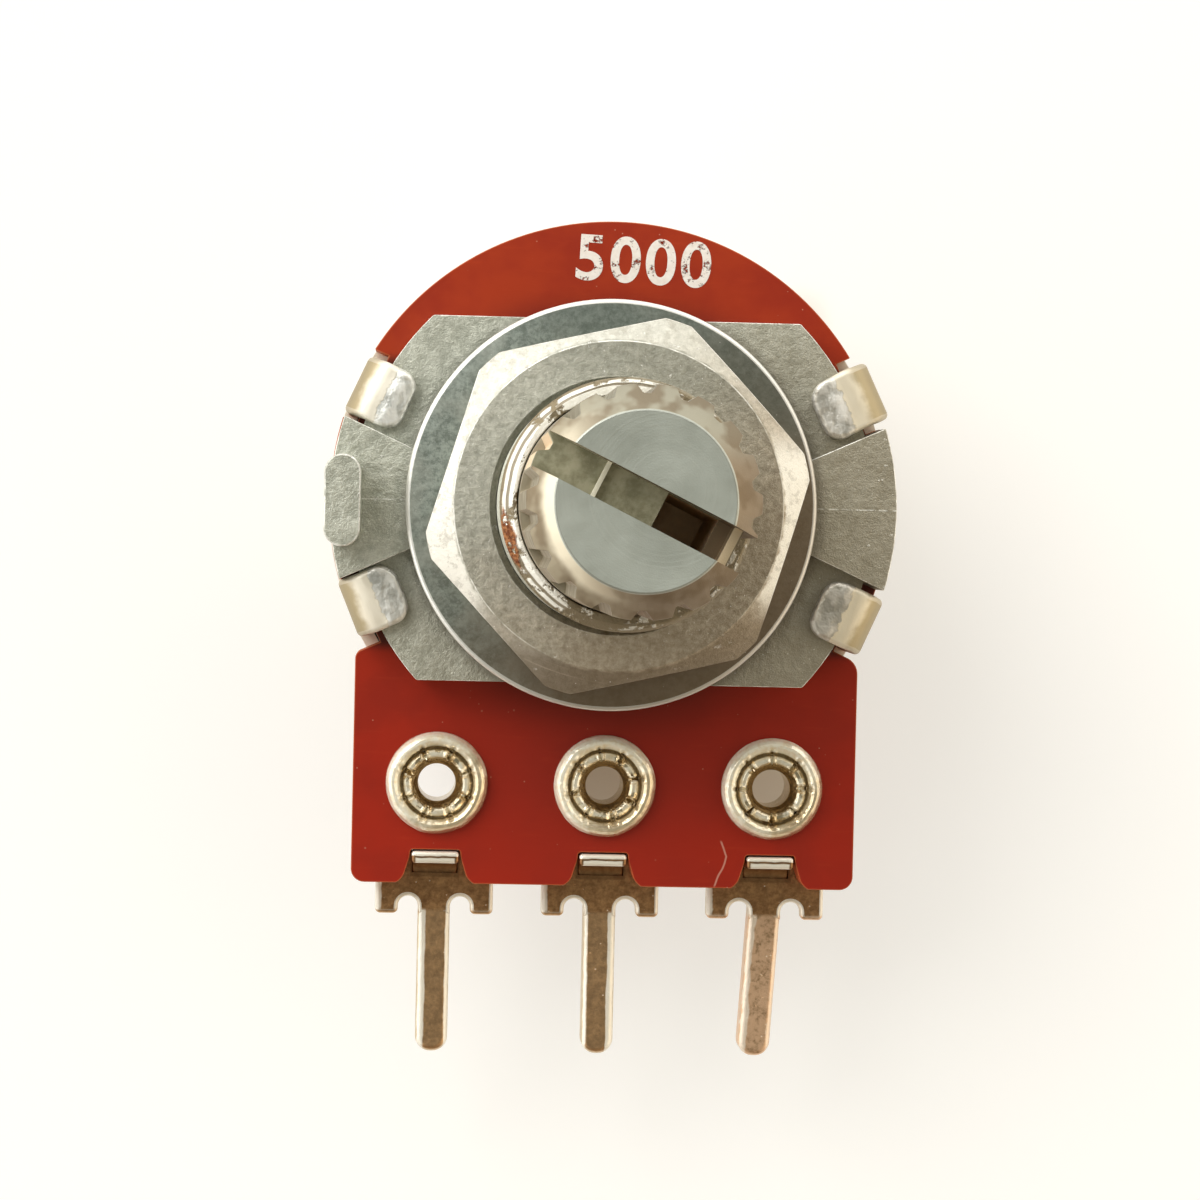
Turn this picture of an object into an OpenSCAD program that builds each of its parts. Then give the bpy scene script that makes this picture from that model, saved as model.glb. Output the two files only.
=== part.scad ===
// Rotary potentiometer with a centre detent, threaded bushing and three pins.
// +Z runs along the shaft, the pins point to -Y, and the rear cover's back
// face lies at z = 0. All sizes are in millimetres.

/* [Rear cover] */
// Outside diameter of the pressed rear cover
cover_d = 16.8; // [16.6:0.1:17.4]
// Sheet thickness of the cover and of its claws
cover_wall = 0.4; // [0.3:0.05:0.45]
// Height of the cover's rim above its back face
cover_h = 5.8; // [5.6:0.1:6.6]
// Radius of the rounded back edge
cover_round = 0.7; // [0.5:0.1:1]
// How much the flat on the pin side cuts off the round cover
flat_depth = 1.8; // [1.7:0.05:1.9]
// Height of the slit that lets the printed leads out under the board
lead_slit = 0.8; // [0.6:0.05:1]
// Width of the tongue that stops the rotor
stop_w = 2.4; // [1.8:0.1:3]

/* [Claws] */
// Angle between the X axis and each claw
claw_angle = 24.3; // [22:0.1:27]
// Width of a claw
claw_w = 1.8; // [1.4:0.1:2]
// Length of the folded claw, from the cover's outside to the claw's tip
claw_reach = 1.76; // [1.5:0.02:2]
// Radius of the two corners at the claw's tip
claw_corner = 0.45; // [0.2:0.05:0.6]
// Side clearance of a claw in the board's notch
claw_gap = 0.1; // [0.05:0.01:0.15]

/* [Board] */
// How far the board's round edge lies inside the cover's outside
board_inset = 0.05; // [0.03:0.01:0.15]
// Shift of the board's round part away from the pins
board_shift = 0.15; // [0:0.05:0.2]
// Thickness of the board
board_t = 1.2; // [1:0.1:1.6]
// Width of the tab that carries the pins
tab_w = 15; // [14.4:0.1:16]
// Length of the tab below the eyelets' centres
tab_l = 3; // [2.9:0.05:3.2]
// Radius of the tab's lower corners
tab_corner = 0.4; // [0.2:0.05:1]
// How much wider a pin notch is at the tab's lower edge than at its top
notch_flare = 0.5; // [0.3:0.05:0.6]
// Thickness of the printed tracks and leads
film_t = 0.05; // [0.03:0.01:0.08]

/* [Die-cast plate and bushing] */
// How far the plate's lower level lies inside the cover's outside
plate_inset = 0.7; // [0.6:0.05:0.8]
// Thickness of the plate's lower level
plate_t = 1.5; // [1.4:0.1:2]
// Distance between the plate's two flats
plate_flats = 10.7; // [10.4:0.1:11.6]
// How far the middle between those flats lies above the axis
plate_shift = 0.15; // [0:0.05:0.2]
// Bevel around the plate's lower level
plate_bevel = 0.2; // [0.1:0.05:0.3]
// How far the two raised sectors lie inside the cover's outside
sector_inset = 0.1; // [0.05:0.05:0.2]
// Rise of the sectors above the plate's lower level
sector_rise = 0.5; // [0.45:0.05:0.8]
// Gap between a claw beside the tab and the sector next to it
sector_gap = 0.3; // [0.2:0.05:0.4]
// Gap between a claw on the far side of the tab and the sector next to it
sector_gap_top = 0.1; // [0.05:0.05:0.4]
// Diameter of the round boss under the washer
boss_d = 9.4; // [8:0.1:10]
// Width of the anti-turn lug
lug_w = 1.05; // [0.8:0.05:1.3]
// Length of the anti-turn lug
lug_l = 2.65; // [2:0.05:3]
// Height of the anti-turn lug above the mounting face
lug_h = 2; // [1.5:0.1:3]
// How far the lug stands out past the sector's edge
lug_out = 0.12; // [0:0.02:0.2]
// Outside diameter of the bushing
bushing_d = 7; // [6.9:0.1:7.4]
// Length of the bushing above the mounting face
bushing_l = 7; // [6:0.5:10]
// Bevel on the bushing's mouth
bushing_bevel = 0.3; // [0.1:0.05:0.3]
// Distance between two turns of the bushing's thread
thread_pitch = 0.75; // [0.75:0.05:1]
// Depth of the thread, on the radius
thread_depth = 0.28; // [0.1:0.02:0.3]

/* [Washer and nut] */
// Outside diameter of the washer
washer_d = 11.8; // [11:0.1:12.4]
// Thickness of the washer
washer_t = 0.5; // [0.4:0.05:0.8]
// Radial clearance between the washer and the bushing
washer_gap = 0.1; // [0.05:0.05:0.3]
// Size of the nut across its flats
nut_af = 10; // [9.5:0.1:11]
// Thickness of the nut
nut_t = 2; // [1.8:0.1:2.6]
// Bevel on the nut's corners, measured along the radius
nut_bevel = 1.06; // [0.5:0.02:1.2]
// Countersink in the nut's bore
nut_sink = 0.25; // [0.1:0.05:0.4]
// Angle of one of the nut's corners from the X axis
nut_turn = 11.2; // [0:0.1:60]
// Radial clearance between the nut and the bushing
nut_gap = 0.02; // [0.01:0.01:0.05]

/* [Shaft] */
// Diameter of the shaft
shaft_d = 6; // [5.8:0.05:6]
// Running clearance around the shaft, on the radius
shaft_gap = 0.03; // [0.02:0.01:0.05]
// Length of the shaft above the mounting face
shaft_l = 15; // [14:0.5:20]
// Length of the knurled end
knurl_l = 7; // [5:0.5:7.5]
// Depth of the knurl's grooves
knurl_depth = 0.26; // [0.15:0.01:0.3]
// Number of teeth around the knurl
knurl_teeth = 18; // [18:1:24]
// Bevel on the shaft's end, along the radius and along the shaft
tip_bevel = 0.7; // [0.4:0.05:0.8]
// Width of the slot
slot_w = 1; // [0.8:0.05:1.2]
// Depth of the slot's open half
slot_depth = 6.9; // [5:0.1:7]
// Depth of the slot's filled half
slot_step = 1.1; // [0.6:0.1:1.5]
// Distance from the axis to the slot's step
slot_step_x = 0.45; // [0.3:0.05:0.6]
// Distance from the axis to the ridge across the filled half
ridge_x = 1.25; // [1.1:0.05:1.4]
// Thickness of that ridge
ridge_w = 0.14; // [0.1:0.02:0.2]
// Angle of the slot from the X axis
slot_turn = -26.2; // [-90:0.1:90]
// Diameter of the shaft where it passes the board
neck_d = 5; // [4.9:0.05:5.1]
// Diameter of the flattened tail that drives the wiper carrier
tail_d = 4.4; // [4.2:0.1:4.6]
// Size across the tail's two flats
tail_flats = 3.4; // [3:0.1:3.6]

/* [Rotor] */
// Total travel of the shaft, in degrees
travel = 300; // [280:5:300]
// Clearance between the wiper carrier's flange and the cover's flat
flange_gap = 0.2; // [0.15:0.01:0.3]
// Thickness of that flange
flange_t = 1; // [0.8:0.1:1.2]
// How far the carrier's lower drum lies inside the flange
drum_inset = 1; // [0.9:0.05:1.2]
// Height of the carrier's lower drum
drum_t = 1.3; // [1.2:0.1:1.5]
// Space between the carrier and the board
wiper_space = 1.3; // [1.2:0.05:1.5]
// Sheet thickness of the brush
brush_t = 0.15; // [0.1:0.01:0.2]
// Width of one brush finger
finger_w = 0.3; // [0.2:0.02:0.34]
// Thickness of the retaining ring
ring_t = 0.4; // [0.3:0.05:0.5]
// Thickness of the thrust washer
thrust_t = 0.2; // [0.15:0.01:0.3]
// Thickness of the detent spring's leaf
leaf_t = 0.15; // [0.1:0.01:0.2]
// Width of the detent spring's leaf
leaf_w = 1.2; // [0.8:0.1:1.4]
// Depth of the detent notch in the carrier
detent_depth = 0.3; // [0.2:0.02:0.4]

/* [Pins and eyelets] */
// Distance between neighbouring pins
pin_pitch = 5; // [4.9:0.05:5.08]
// Gap between the cover's flat and a terminal's ring
eyelet_gap = 0.15; // [0.1:0.05:0.25]
// Diameter of an eyelet's rolled head
eyelet_head_d = 3.05; // [2.9:0.05:3.2]
// Height of an eyelet's rolled head
eyelet_head_h = 0.42; // [0.3:0.02:0.5]
// Diameter of the hole through an eyelet
eyelet_bore = 1.12; // [1:0.02:1.2]
// Wall thickness of an eyelet's barrel
eyelet_wall = 0.19; // [0.12:0.01:0.22]
// Sheet thickness of a terminal
term_t = 0.4; // [0.3:0.05:0.5]
// Width of the terminal's bar below the board
bar_w = 3.55; // [3.3:0.05:3.8]
// How far the feet on that bar reach below the board
feet_drop = 1.05; // [0.9:0.05:1.3]
// Width of one foot
foot_w = 0.69; // [0.5:0.01:0.75]
// Width of a pin
pin_w = 0.97; // [0.8:0.01:1.05]
// Depth of the folded pin, front to back
pin_d = 0.8; // [0.7:0.02:0.9]
// Length of a pin below the feet
pin_l = 4.15; // [3:0.05:5.5]
// Width of the tongue that grips the board
tongue_w = 1.4; // [1.2:0.02:1.42]
// Sideways bend of the right pin, in degrees
bent_pin = -3.4; // [-5:0.1:0]

/* [Hidden] */
$fn = 96;

// Heights of the faces, from the back to the shaft's tip
board_z = cover_h;
film_z = board_z - film_t;
plate_z = board_z + board_t;
recess_z = plate_z + plate_t;
face_z = recess_z + sector_rise;
washer_z = face_z + washer_t;
mouth_z = face_z + bushing_l;
tip_z = face_z + shaft_l;
carrier_z = board_z - wiper_space;
flange_z = carrier_z - flange_t;
drum_z = flange_z - drum_t;

// Rear cover
cover_r = cover_d / 2;
cover_in = cover_r - cover_wall;
cover_flat = cover_r - flat_depth;
flat_in = cover_flat - cover_wall;
claw_inset = 0.02;
claw_root = 1;
claw_x = sqrt(cover_r * cover_r - claw_w * claw_w / 4) - claw_inset;
claw_top_z = recess_z + cover_wall;
claw_bend = claw_x - (cover_r - plate_inset - plate_bevel);
claw_y = cover_r * sin(claw_angle);

// Board and plate
board_r = cover_r - board_inset;
plate_r = cover_r - plate_inset;
sector_r = cover_r - sector_inset;
bushing_r = bushing_d / 2;
shaft_r = shaft_d / 2;
bore_r = shaft_r + shaft_gap;
sector_bevel = 0.1;
thread_flat = 0.15;
thread_low = washer_z + thread_pitch;
pocket_wall = 1.3;
pocket_r = shaft_r + pocket_wall;
axial_play = 0.02;
groove_wall = 0.2;
ring_space = 0.08;
pocket_h = axial_play + thrust_t + ring_t + groove_wall + ring_space;
pocket_z = plate_z + pocket_h;
thrust_z = pocket_z - axial_play - thrust_t;
ring_z = thrust_z - ring_t;
shoulder_z = ring_z - groove_wall;
ring_gap = 0.4;
ring_r = pocket_r - ring_gap;
ring_open = 60;
groove_depth = 0.5;
groove_r = shaft_r - groove_depth;
big = cover_d * 2;

// Rotor
flange_r = flat_in - flange_gap;
drum_r = flange_r - drum_inset;
neck_gap = 0.2;
board_hole_r = neck_d / 2 + neck_gap;
seat_gap = 0.02;
head_t = 0.5;
head_rim = 0.4;
head_r = tail_d / 2 + head_rim;
tail_tip_r = 1;
tail_gap = 0.1;
tail_tip_z = cover_wall + tail_gap;
slot_floor = tip_z - slot_depth;
ridge_drop = 0.3;

// Knurl: a groove's mouth and its floor, as shares of one tooth's pitch
groove_share = 0.56;
floor_share = 0.2;

// Stop tongue of the cover, and the lug on the carrier's drum that meets it
stop_z = drum_z + drum_t / 2 - cover_wall / 2;
stop_gap = 0.2;
stop_reach = drum_r + stop_gap;
window_gap = 0.2;
window_h = flat_in - stop_reach;
stop_half = asin(stop_w / 2 / stop_reach);
stop_play = 0.5;
lug_half = 180 - travel / 2 - stop_half - stop_play;

// Tracks on the board's back, measured from the axis
track_inset = 0.45;
track_r = flange_r - track_inset;
track_w = 1;
track_margin = 8;
pad_margin = 10;
track_half = travel / 2 - track_margin;
pad_half = travel / 2 + pad_margin;
inner_inset = 0.3;
inner_w = 0.9;
inner_r = board_hole_r + inner_inset + inner_w / 2;
lead_w = 1;
lead_rim = 0.1;

// Brush
finger_space = 0.1;
finger_pitch = finger_w + finger_space;
finger_run = 1.7;
finger_root = 0.6;
finger_lap = 0.2;
brush_hole = 0.3;
brush_in = neck_d / 2 + brush_hole;
brush_w = 1.8;
brush_out = brush_in + brush_w;
rim_gap = 0.1;
pip_r = 0.3;
pip_at = (brush_in + brush_out) / 2;
wiper_gap = 0.05;

// Detent spring
nose_gap = 0.04;
nose_r = detent_depth - nose_gap;
detent_at = drum_r - drum_inset;
detent_side = 0.2;
leaf_gap = 0.12;
leaf_top_z = drum_z - leaf_gap;
leaf_h = leaf_top_z - cover_wall;
leaf_run = 3;
leaf_r = (leaf_run * leaf_run + leaf_h * leaf_h) / (2 * leaf_h);

// Pins and eyelets
term_ring_r = 1.55;
eyelet_y = cover_flat + eyelet_gap + term_ring_r;
tab_y = eyelet_y + tab_l;
feet_y = tab_y + feet_drop;
pin_y = feet_y + pin_l;
bore_wall_r = eyelet_bore / 2;
barrel_r = bore_wall_r + eyelet_wall;
barrel_gap = 0.03;
eyelet_r = eyelet_head_d / 2;
eyelet_lip = 0.17;
funnel_w = 0.12;
petal_h = eyelet_head_h * 0.72;
slit_z = eyelet_head_h * 0.4;
slit_count = 8;
slit_turn = 23;
slit_w = 0.09;
roll_w = 0.45;
roll_r = barrel_r + roll_w;
roll_t = 0.25;
term_top = film_z;
term_z = term_top - term_t;
strip_w = 2.6;
bar_rise = 0.1;
bar_y = tab_y - bar_rise;
fold_rise = 0.25;
fold_y = feet_y - fold_rise;
cut_r = (bar_w / 2 - foot_w - pin_w / 2) / 2;
cut_rise = 0.23;
cut_y = feet_y - cut_rise;
pin_round = 0.24;
pin_skin = 0.24;
channel_w = 0.4;
notch_h = 1;
notch_y = tab_y - notch_h;
tongue_gap = 0.05;
notch_top_w = tongue_w + 2 * tongue_gap;
notch_low_w = notch_top_w + notch_flare;
notch_corner = 3 * tongue_gap;
tongue_t = 0.35;
tongue_out = 0.12;
tongue_top = plate_z + tongue_out;
tongue_bend = 0.75;
tongue_y = notch_y + tongue_gap;
tongue_root = tongue_y + tongue_bend;
lance_gap = 0.1;
lance_y = eyelet_y + term_ring_r + lance_gap;

// Flat sector of a circle between two angles
module wedge(r, from, to) {
    steps = 12;
    points = [for (i = [0:steps]) let (a = from + (to - from) * i / steps) [r * cos(a), r * sin(a)]];
    polygon(concat([[0, 0]], points));
}

// Round ring standing on the height z
module tube(r_out, r_in, z, h) {
    translate([0, 0, z])
        difference() {
            cylinder(r = r_out, h = h);
            translate([0, 0, -1]) cylinder(r = r_in, h = h + 2);
        }
}

// Puts a child at each of the four claws, with +X pointing outwards
module at_claws() {
    for (side = [0, 180], turn = [-claw_angle, claw_angle])
        rotate(side + turn) children();
}

// Everything on the axis's side of a line at the distance d towards -Y
module above_flat(d, low, high) {
    translate([-big, -d, low]) cube([2 * big, 2 * big, high - low]);
}

// ---- Rear cover ----

module cover_cup() {
    rotate_extrude()
        union() {
            square([cover_r - cover_round, cover_round]);
            translate([0, cover_round]) square([cover_r, cover_h - cover_round]);
            intersection() {
                translate([cover_r - cover_round, cover_round]) circle(r = cover_round, $fn = 64);
                square([cover_r, cover_round]);
            }
        }
}

module cover_hollow() {
    round_in = max(cover_round - cover_wall, 0.1);
    rotate_extrude()
        translate([0, cover_wall])
            union() {
                square([cover_in - round_in, cover_h]);
                translate([0, round_in]) square([cover_in, cover_h]);
                intersection() {
                    translate([cover_in - round_in, round_in]) circle(r = round_in, $fn = 64);
                    square([cover_in, round_in]);
                }
            }
}

// One claw: it rises past the board and folds in over the plate
module claw() {
    bend_x = claw_x - claw_bend;
    bend_z = claw_top_z - claw_bend;
    tip_x = cover_r - claw_reach;
    intersection() {
        rotate([90, 0, 0])
            linear_extrude(height = claw_w, center = true)
                difference() {
                    union() {
                        translate([bend_x, cover_h - claw_root])
                            square([claw_bend, bend_z - cover_h + claw_root]);
                        translate([tip_x, bend_z]) square([bend_x - tip_x, claw_bend]);
                        translate([bend_x, bend_z]) circle(r = claw_bend, $fn = 96);
                    }
                    translate([bend_x - big, cover_h - 2])
                        square([big + claw_bend - cover_wall, bend_z - cover_h + 2]);
                    translate([bend_x - big, cover_h - 2])
                        square([big, claw_top_z - cover_wall - cover_h + 2]);
                    translate([bend_x, bend_z]) circle(r = claw_bend - cover_wall, $fn = 96);
                }
        claw_outline();
    }
}

// The claw's outline seen from the front, with two round corners at its tip
module claw_outline() {
    tip_x = cover_r - claw_reach;
    linear_extrude(height = tip_z)
        union() {
            translate([tip_x + claw_corner, -claw_w / 2]) square([claw_reach, claw_w]);
            translate([tip_x, -claw_w / 2 + claw_corner]) square([claw_reach, claw_w - 2 * claw_corner]);
            for (side = [-1, 1])
                translate([tip_x + claw_corner, side * (claw_w / 2 - claw_corner)])
                    circle(r = claw_corner, $fn = 48);
        }
}

module rear_cover() {
    color("#b9ab93")
        union() {
            difference() {
                intersection() {
                    cover_cup();
                    above_flat(cover_flat, 0, cover_h);
                }
                intersection() {
                    cover_hollow();
                    above_flat(flat_in, cover_wall, cover_h + 1);
                }
                translate([-big, -big, cover_h - lead_slit]) cube([2 * big, big - flat_in, big]);
                translate([-stop_w / 2 - window_gap, -cover_flat - 1, stop_z - window_h])
                    cube([stop_w + 2 * window_gap, cover_wall + 2, window_h]);
            }
            translate([-stop_w / 2, -cover_flat, stop_z])
                cube([stop_w, cover_flat - stop_reach, cover_wall]);
            at_claws() claw();
        }
}

// ---- Board with its printed tracks ----

module board_outline() {
    difference() {
        union() {
            translate([0, board_shift]) circle(r = board_r);
            translate([-tab_w / 2, -tab_y + tab_corner]) square([tab_w, tab_y - tab_corner - claw_y]);
            translate([-tab_w / 2 + tab_corner, -tab_y]) square([tab_w - 2 * tab_corner, tab_y / 2]);
            for (side = [-1, 1])
                translate([side * (tab_w / 2 - tab_corner), -tab_y + tab_corner])
                    circle(r = tab_corner, $fn = 48);
        }
        circle(r = board_hole_r);
        at_claws()
            translate([claw_x - cover_wall - claw_gap, -claw_w / 2 - claw_gap])
                square([big, claw_w + 2 * claw_gap]);
        for (i = [-1:1])
            translate([i * pin_pitch, 0]) {
                pin_notch();
                translate([0, -eyelet_y]) circle(r = barrel_r + barrel_gap, $fn = 48);
            }
    }
}

module pin_notch() {
    union() {
        polygon([
            [-notch_low_w / 2, -tab_y - 1],
            [notch_low_w / 2, -tab_y - 1],
            [notch_low_w / 2, -tab_y],
            [notch_top_w / 2, -notch_y - notch_corner],
            [-notch_top_w / 2, -notch_y - notch_corner],
            [-notch_low_w / 2, -tab_y]
        ]);
        translate([-notch_top_w / 2 + notch_corner, -notch_y - 2 * notch_corner])
            square([notch_top_w - 2 * notch_corner, 2 * notch_corner]);
        for (side = [-1, 1])
            translate([side * (notch_top_w / 2 - notch_corner), -notch_y - notch_corner])
                circle(r = notch_corner, $fn = 48);
    }
}

module element_board() {
    color("#9e3b1c")
        translate([0, 0, board_z])
            linear_extrude(height = board_t) board_outline();
}

// A flat print on the board's back
module film() {
    translate([0, 0, film_z]) linear_extrude(height = film_t) children();
}

// Ring of film around an eyelet's barrel, and the lead that reaches it
module eyelet_lead(x, from_x, from_y) {
    run_x = x - from_x;
    run_y = -eyelet_y - from_y;
    difference() {
        union() {
            translate([x, -eyelet_y]) circle(r = term_ring_r - lead_rim, $fn = 64);
            translate([from_x, from_y])
                rotate(atan2(run_y, run_x))
                    translate([0, -lead_w / 2]) square([norm([run_x, run_y]), lead_w]);
        }
        translate([x, -eyelet_y]) circle(r = barrel_r + barrel_gap, $fn = 64);
    }
}

// Part of the outer track's ring, between two angles from +Y
module track_part(from, to) {
    difference() {
        intersection() {
            circle(r = track_r + track_w / 2);
            wedge(big, 90 + from, 90 + to);
        }
        circle(r = track_r - track_w / 2);
    }
}

module carbon_track() {
    color("#26231f") film()
        union() {
            for (side = [-1, 1]) {
                track_part(0, side * track_half / 2);
                track_part(side * track_half / 2, side * track_half);
            }
        }
}

module end_contact(side) {
    mid = 90 - side * (track_half + pad_half) / 2;
    color("#b8b8b4") film()
        union() {
            track_part(-side * track_half, -side * pad_half);
            eyelet_lead(side * pin_pitch, track_r * cos(mid), track_r * sin(mid));
        }
}

module collector_track() {
    color("#b8b8b4") film()
        union() {
            difference() {
                circle(r = inner_r + inner_w / 2);
                circle(r = inner_r - inner_w / 2);
            }
            eyelet_lead(0, 0, -inner_r);
        }
}

// ---- Pins and eyelets ----

// The flat part of a terminal: ring, strip, bar and feet, seen from the front
module terminal_flat() {
    difference() {
        union() {
            translate([0, -eyelet_y]) circle(r = term_ring_r, $fn = 64);
            translate([-strip_w / 2, -tab_y]) square([strip_w, tab_y - eyelet_y]);
            translate([-bar_w / 2, -feet_y]) square([bar_w, feet_y - bar_y]);
        }
        translate([0, -eyelet_y]) circle(r = barrel_r + barrel_gap, $fn = 64);
        translate([-notch_top_w / 2, -tongue_root]) square([notch_top_w, tongue_root - lance_y]);
        for (side = [-1, 1])
            translate([side * (pin_w / 2 + cut_r), -cut_y]) {
                circle(r = cut_r, $fn = 48);
                translate([-cut_r, -feet_y]) square([2 * cut_r, feet_y]);
            }
    }
}

// The tongue bends forward out of the strip and stands in the board's notch
module terminal_tongue() {
    rise = tongue_top - term_z;
    translate([tongue_w / 2, -tongue_root, term_z])
        rotate([90, 0, -90])
            linear_extrude(height = tongue_w)
                union() {
                    difference() {
                        intersection() {
                            translate([0, tongue_bend]) circle(r = tongue_bend, $fn = 96);
                            translate([-tongue_bend, 0]) square([tongue_bend, tongue_bend]);
                        }
                        translate([0, tongue_bend]) circle(r = tongue_bend - tongue_t, $fn = 96);
                    }
                    translate([-tongue_bend, tongue_bend]) square([tongue_t, rise - tongue_bend]);
                    square([bar_rise, tongue_t]);
                }
}

// Cross-section of the folded pin, with its channel open to the back
module pin_section() {
    difference() {
        union() {
            translate([-pin_w / 2, -pin_d]) square([pin_w, pin_d - pin_round]);
            translate([-pin_w / 2 + pin_round, -pin_d]) square([pin_w - 2 * pin_round, pin_d]);
            for (side = [-1, 1])
                translate([side * (pin_w / 2 - pin_round), -pin_round])
                    circle(r = pin_round, $fn = 48);
        }
        translate([-channel_w / 2, -pin_d - 1]) square([channel_w, pin_d - pin_skin + 1]);
    }
}

// The pin below the feet: flat neck first, then the folded stretch to the tip
module pin(bend) {
    tip_r = pin_w / 2;
    translate([0, -fold_y, 0]) rotate(bend) translate([0, fold_y, 0])
        intersection() {
            translate([0, -fold_y, term_top])
                rotate([90, 0, 0])
                    linear_extrude(height = pin_y) pin_section();
            linear_extrude(height = tip_z)
                union() {
                    translate([-pin_w / 2, -pin_y + tip_r]) square([pin_w, pin_y - tip_r]);
                    translate([0, -pin_y + tip_r]) circle(r = tip_r, $fn = 64);
                }
        }
}

module terminal(i, bend = 0) {
    color("#b69a72")
        translate([i * pin_pitch, 0, 0])
            union() {
                translate([0, 0, term_z]) linear_extrude(height = term_t) terminal_flat();
                translate([-pin_w / 2, -feet_y, term_z]) cube([pin_w, cut_rise, term_t]);
                terminal_tongue();
                pin(bend);
            }
}

// An eyelet's head on the front, its barrel and the edge rolled over behind
module eyelet(i) {
    funnel_r = barrel_r + funnel_w;
    roll_z = term_z - roll_t;
    lip_x = eyelet_r - eyelet_lip;
    color("#c8ae80")
        translate([i * pin_pitch, -eyelet_y, 0])
            difference() {
                rotate_extrude()
                    difference() {
                        union() {
                            translate([bore_wall_r, roll_z]) square([eyelet_wall, plate_z - roll_z]);
                            translate([bore_wall_r, roll_z]) square([roll_r - bore_wall_r, roll_t]);
                            translate([bore_wall_r, plate_z]) square([lip_x - bore_wall_r, petal_h]);
                            translate([lip_x - eyelet_lip, plate_z])
                                square([2 * eyelet_lip, eyelet_head_h - eyelet_lip]);
                            translate([lip_x, plate_z + eyelet_head_h - eyelet_lip])
                                circle(r = eyelet_lip, $fn = 48);
                        }
                        translate([0, plate_z])
                            polygon([
                                [bore_wall_r, 0],
                                [funnel_r, eyelet_head_h],
                                [0, eyelet_head_h],
                                [0, 0]
                            ]);
                    }
                for (k = [0:slit_count - 1])
                    rotate(slit_turn + k * 360 / slit_count)
                        translate([funnel_r, -slit_w / 2, plate_z + slit_z])
                            cube([lip_x - funnel_r, slit_w, eyelet_head_h]);
            }
}

// ---- Die-cast plate and bushing ----

// The two sectors seen from the front: each keeps its gaps to the claws on both sides
module sector_wedge() {
    apex_x = (claw_w + sector_gap + sector_gap_top) / 2 / sin(claw_angle);
    apex_y = (sector_gap - sector_gap_top) / 2 / cos(claw_angle);
    rise = tan(claw_angle) * (big - apex_x);
    for (side = [-1, 1])
        polygon([
            [side * apex_x, apex_y],
            [side * big, apex_y + rise],
            [side * big, apex_y - rise]
        ]);
}

// One ring of the thread: a groove as wide as the pitch, but for a flat crest
module thread_groove() {
    half = (thread_pitch - thread_flat) / 2;
    rotate_extrude()
        polygon([
            [bushing_r - thread_depth, 0],
            [bushing_r + thread_depth, -2 * half],
            [bushing_r + thread_depth, 2 * half]
        ]);
}

// The bushing's outside, with its thread as rings up to the mouth
module bushing() {
    difference() {
        rotate_extrude()
            polygon([
                [0, plate_z],
                [bushing_r, plate_z],
                [bushing_r, mouth_z - bushing_bevel],
                [bushing_r - bushing_bevel, mouth_z],
                [0, mouth_z]
            ]);
        for (z = [thread_low:thread_pitch:mouth_z - bushing_bevel - thread_pitch / 2])
            translate([0, 0, z]) thread_groove();
    }
}

module bushing_plate() {
    color("#9a9b92")
        difference() {
            union() {
                intersection() {
                    rotate_extrude()
                        polygon([
                            [0, plate_z],
                            [plate_r, plate_z],
                            [plate_r, recess_z - plate_bevel],
                            [plate_r - plate_bevel, recess_z],
                            [0, recess_z]
                        ]);
                    translate([-big, plate_shift - plate_flats / 2, 0])
                        cube([2 * big, plate_flats, tip_z]);
                }
                intersection() {
                    rotate_extrude()
                        polygon([
                            [0, plate_z],
                            [sector_r, plate_z],
                            [sector_r, face_z - sector_bevel],
                            [sector_r - sector_bevel, face_z],
                            [0, face_z]
                        ]);
                    translate([0, 0, plate_z]) linear_extrude(height = face_z) sector_wedge();
                }
                translate([0, 0, plate_z]) cylinder(d = boss_d, h = face_z - plate_z);
                bushing();
                lug();
            }
            translate([0, 0, plate_z - 1]) cylinder(r = bore_r, h = tip_z);
            translate([0, 0, plate_z - 1]) cylinder(r = pocket_r, h = pocket_h + 1);
        }
}

module lug() {
    x = -sector_r - lug_out + lug_w / 2;
    run = lug_l / 2 - lug_w / 2;
    translate([x, 0, plate_z])
        linear_extrude(height = face_z + lug_h - plate_z)
            union() {
                square([lug_w, 2 * run], center = true);
                for (side = [-1, 1])
                    translate([0, side * run]) circle(d = lug_w, $fn = 64);
            }
}

module panel_washer() {
    color("#8a9188") tube(washer_d / 2, bushing_r + washer_gap, face_z, washer_t);
}

module mounting_nut() {
    corner_r = nut_af / 2 / cos(30);
    hole_r = bushing_r + nut_gap;
    slope = nut_bevel * tan(30);
    color("#a3a294")
        translate([0, 0, washer_z])
            difference() {
                intersection() {
                    rotate(nut_turn) cylinder(r = corner_r, h = nut_t, $fn = 6);
                    rotate_extrude()
                        polygon([
                            [0, 0],
                            [corner_r - nut_bevel, 0],
                            [corner_r, slope],
                            [corner_r, nut_t - slope],
                            [corner_r - nut_bevel, nut_t],
                            [0, nut_t]
                        ]);
                }
                rotate_extrude()
                    polygon([
                        [0, -1],
                        [hole_r + nut_sink, -1],
                        [hole_r + nut_sink, 0],
                        [hole_r, nut_sink],
                        [hole_r, nut_t - nut_sink],
                        [hole_r + nut_sink, nut_t],
                        [hole_r + nut_sink, nut_t + 1],
                        [0, nut_t + 1]
                    ]);
            }
}

// ---- Rotor ----

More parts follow.
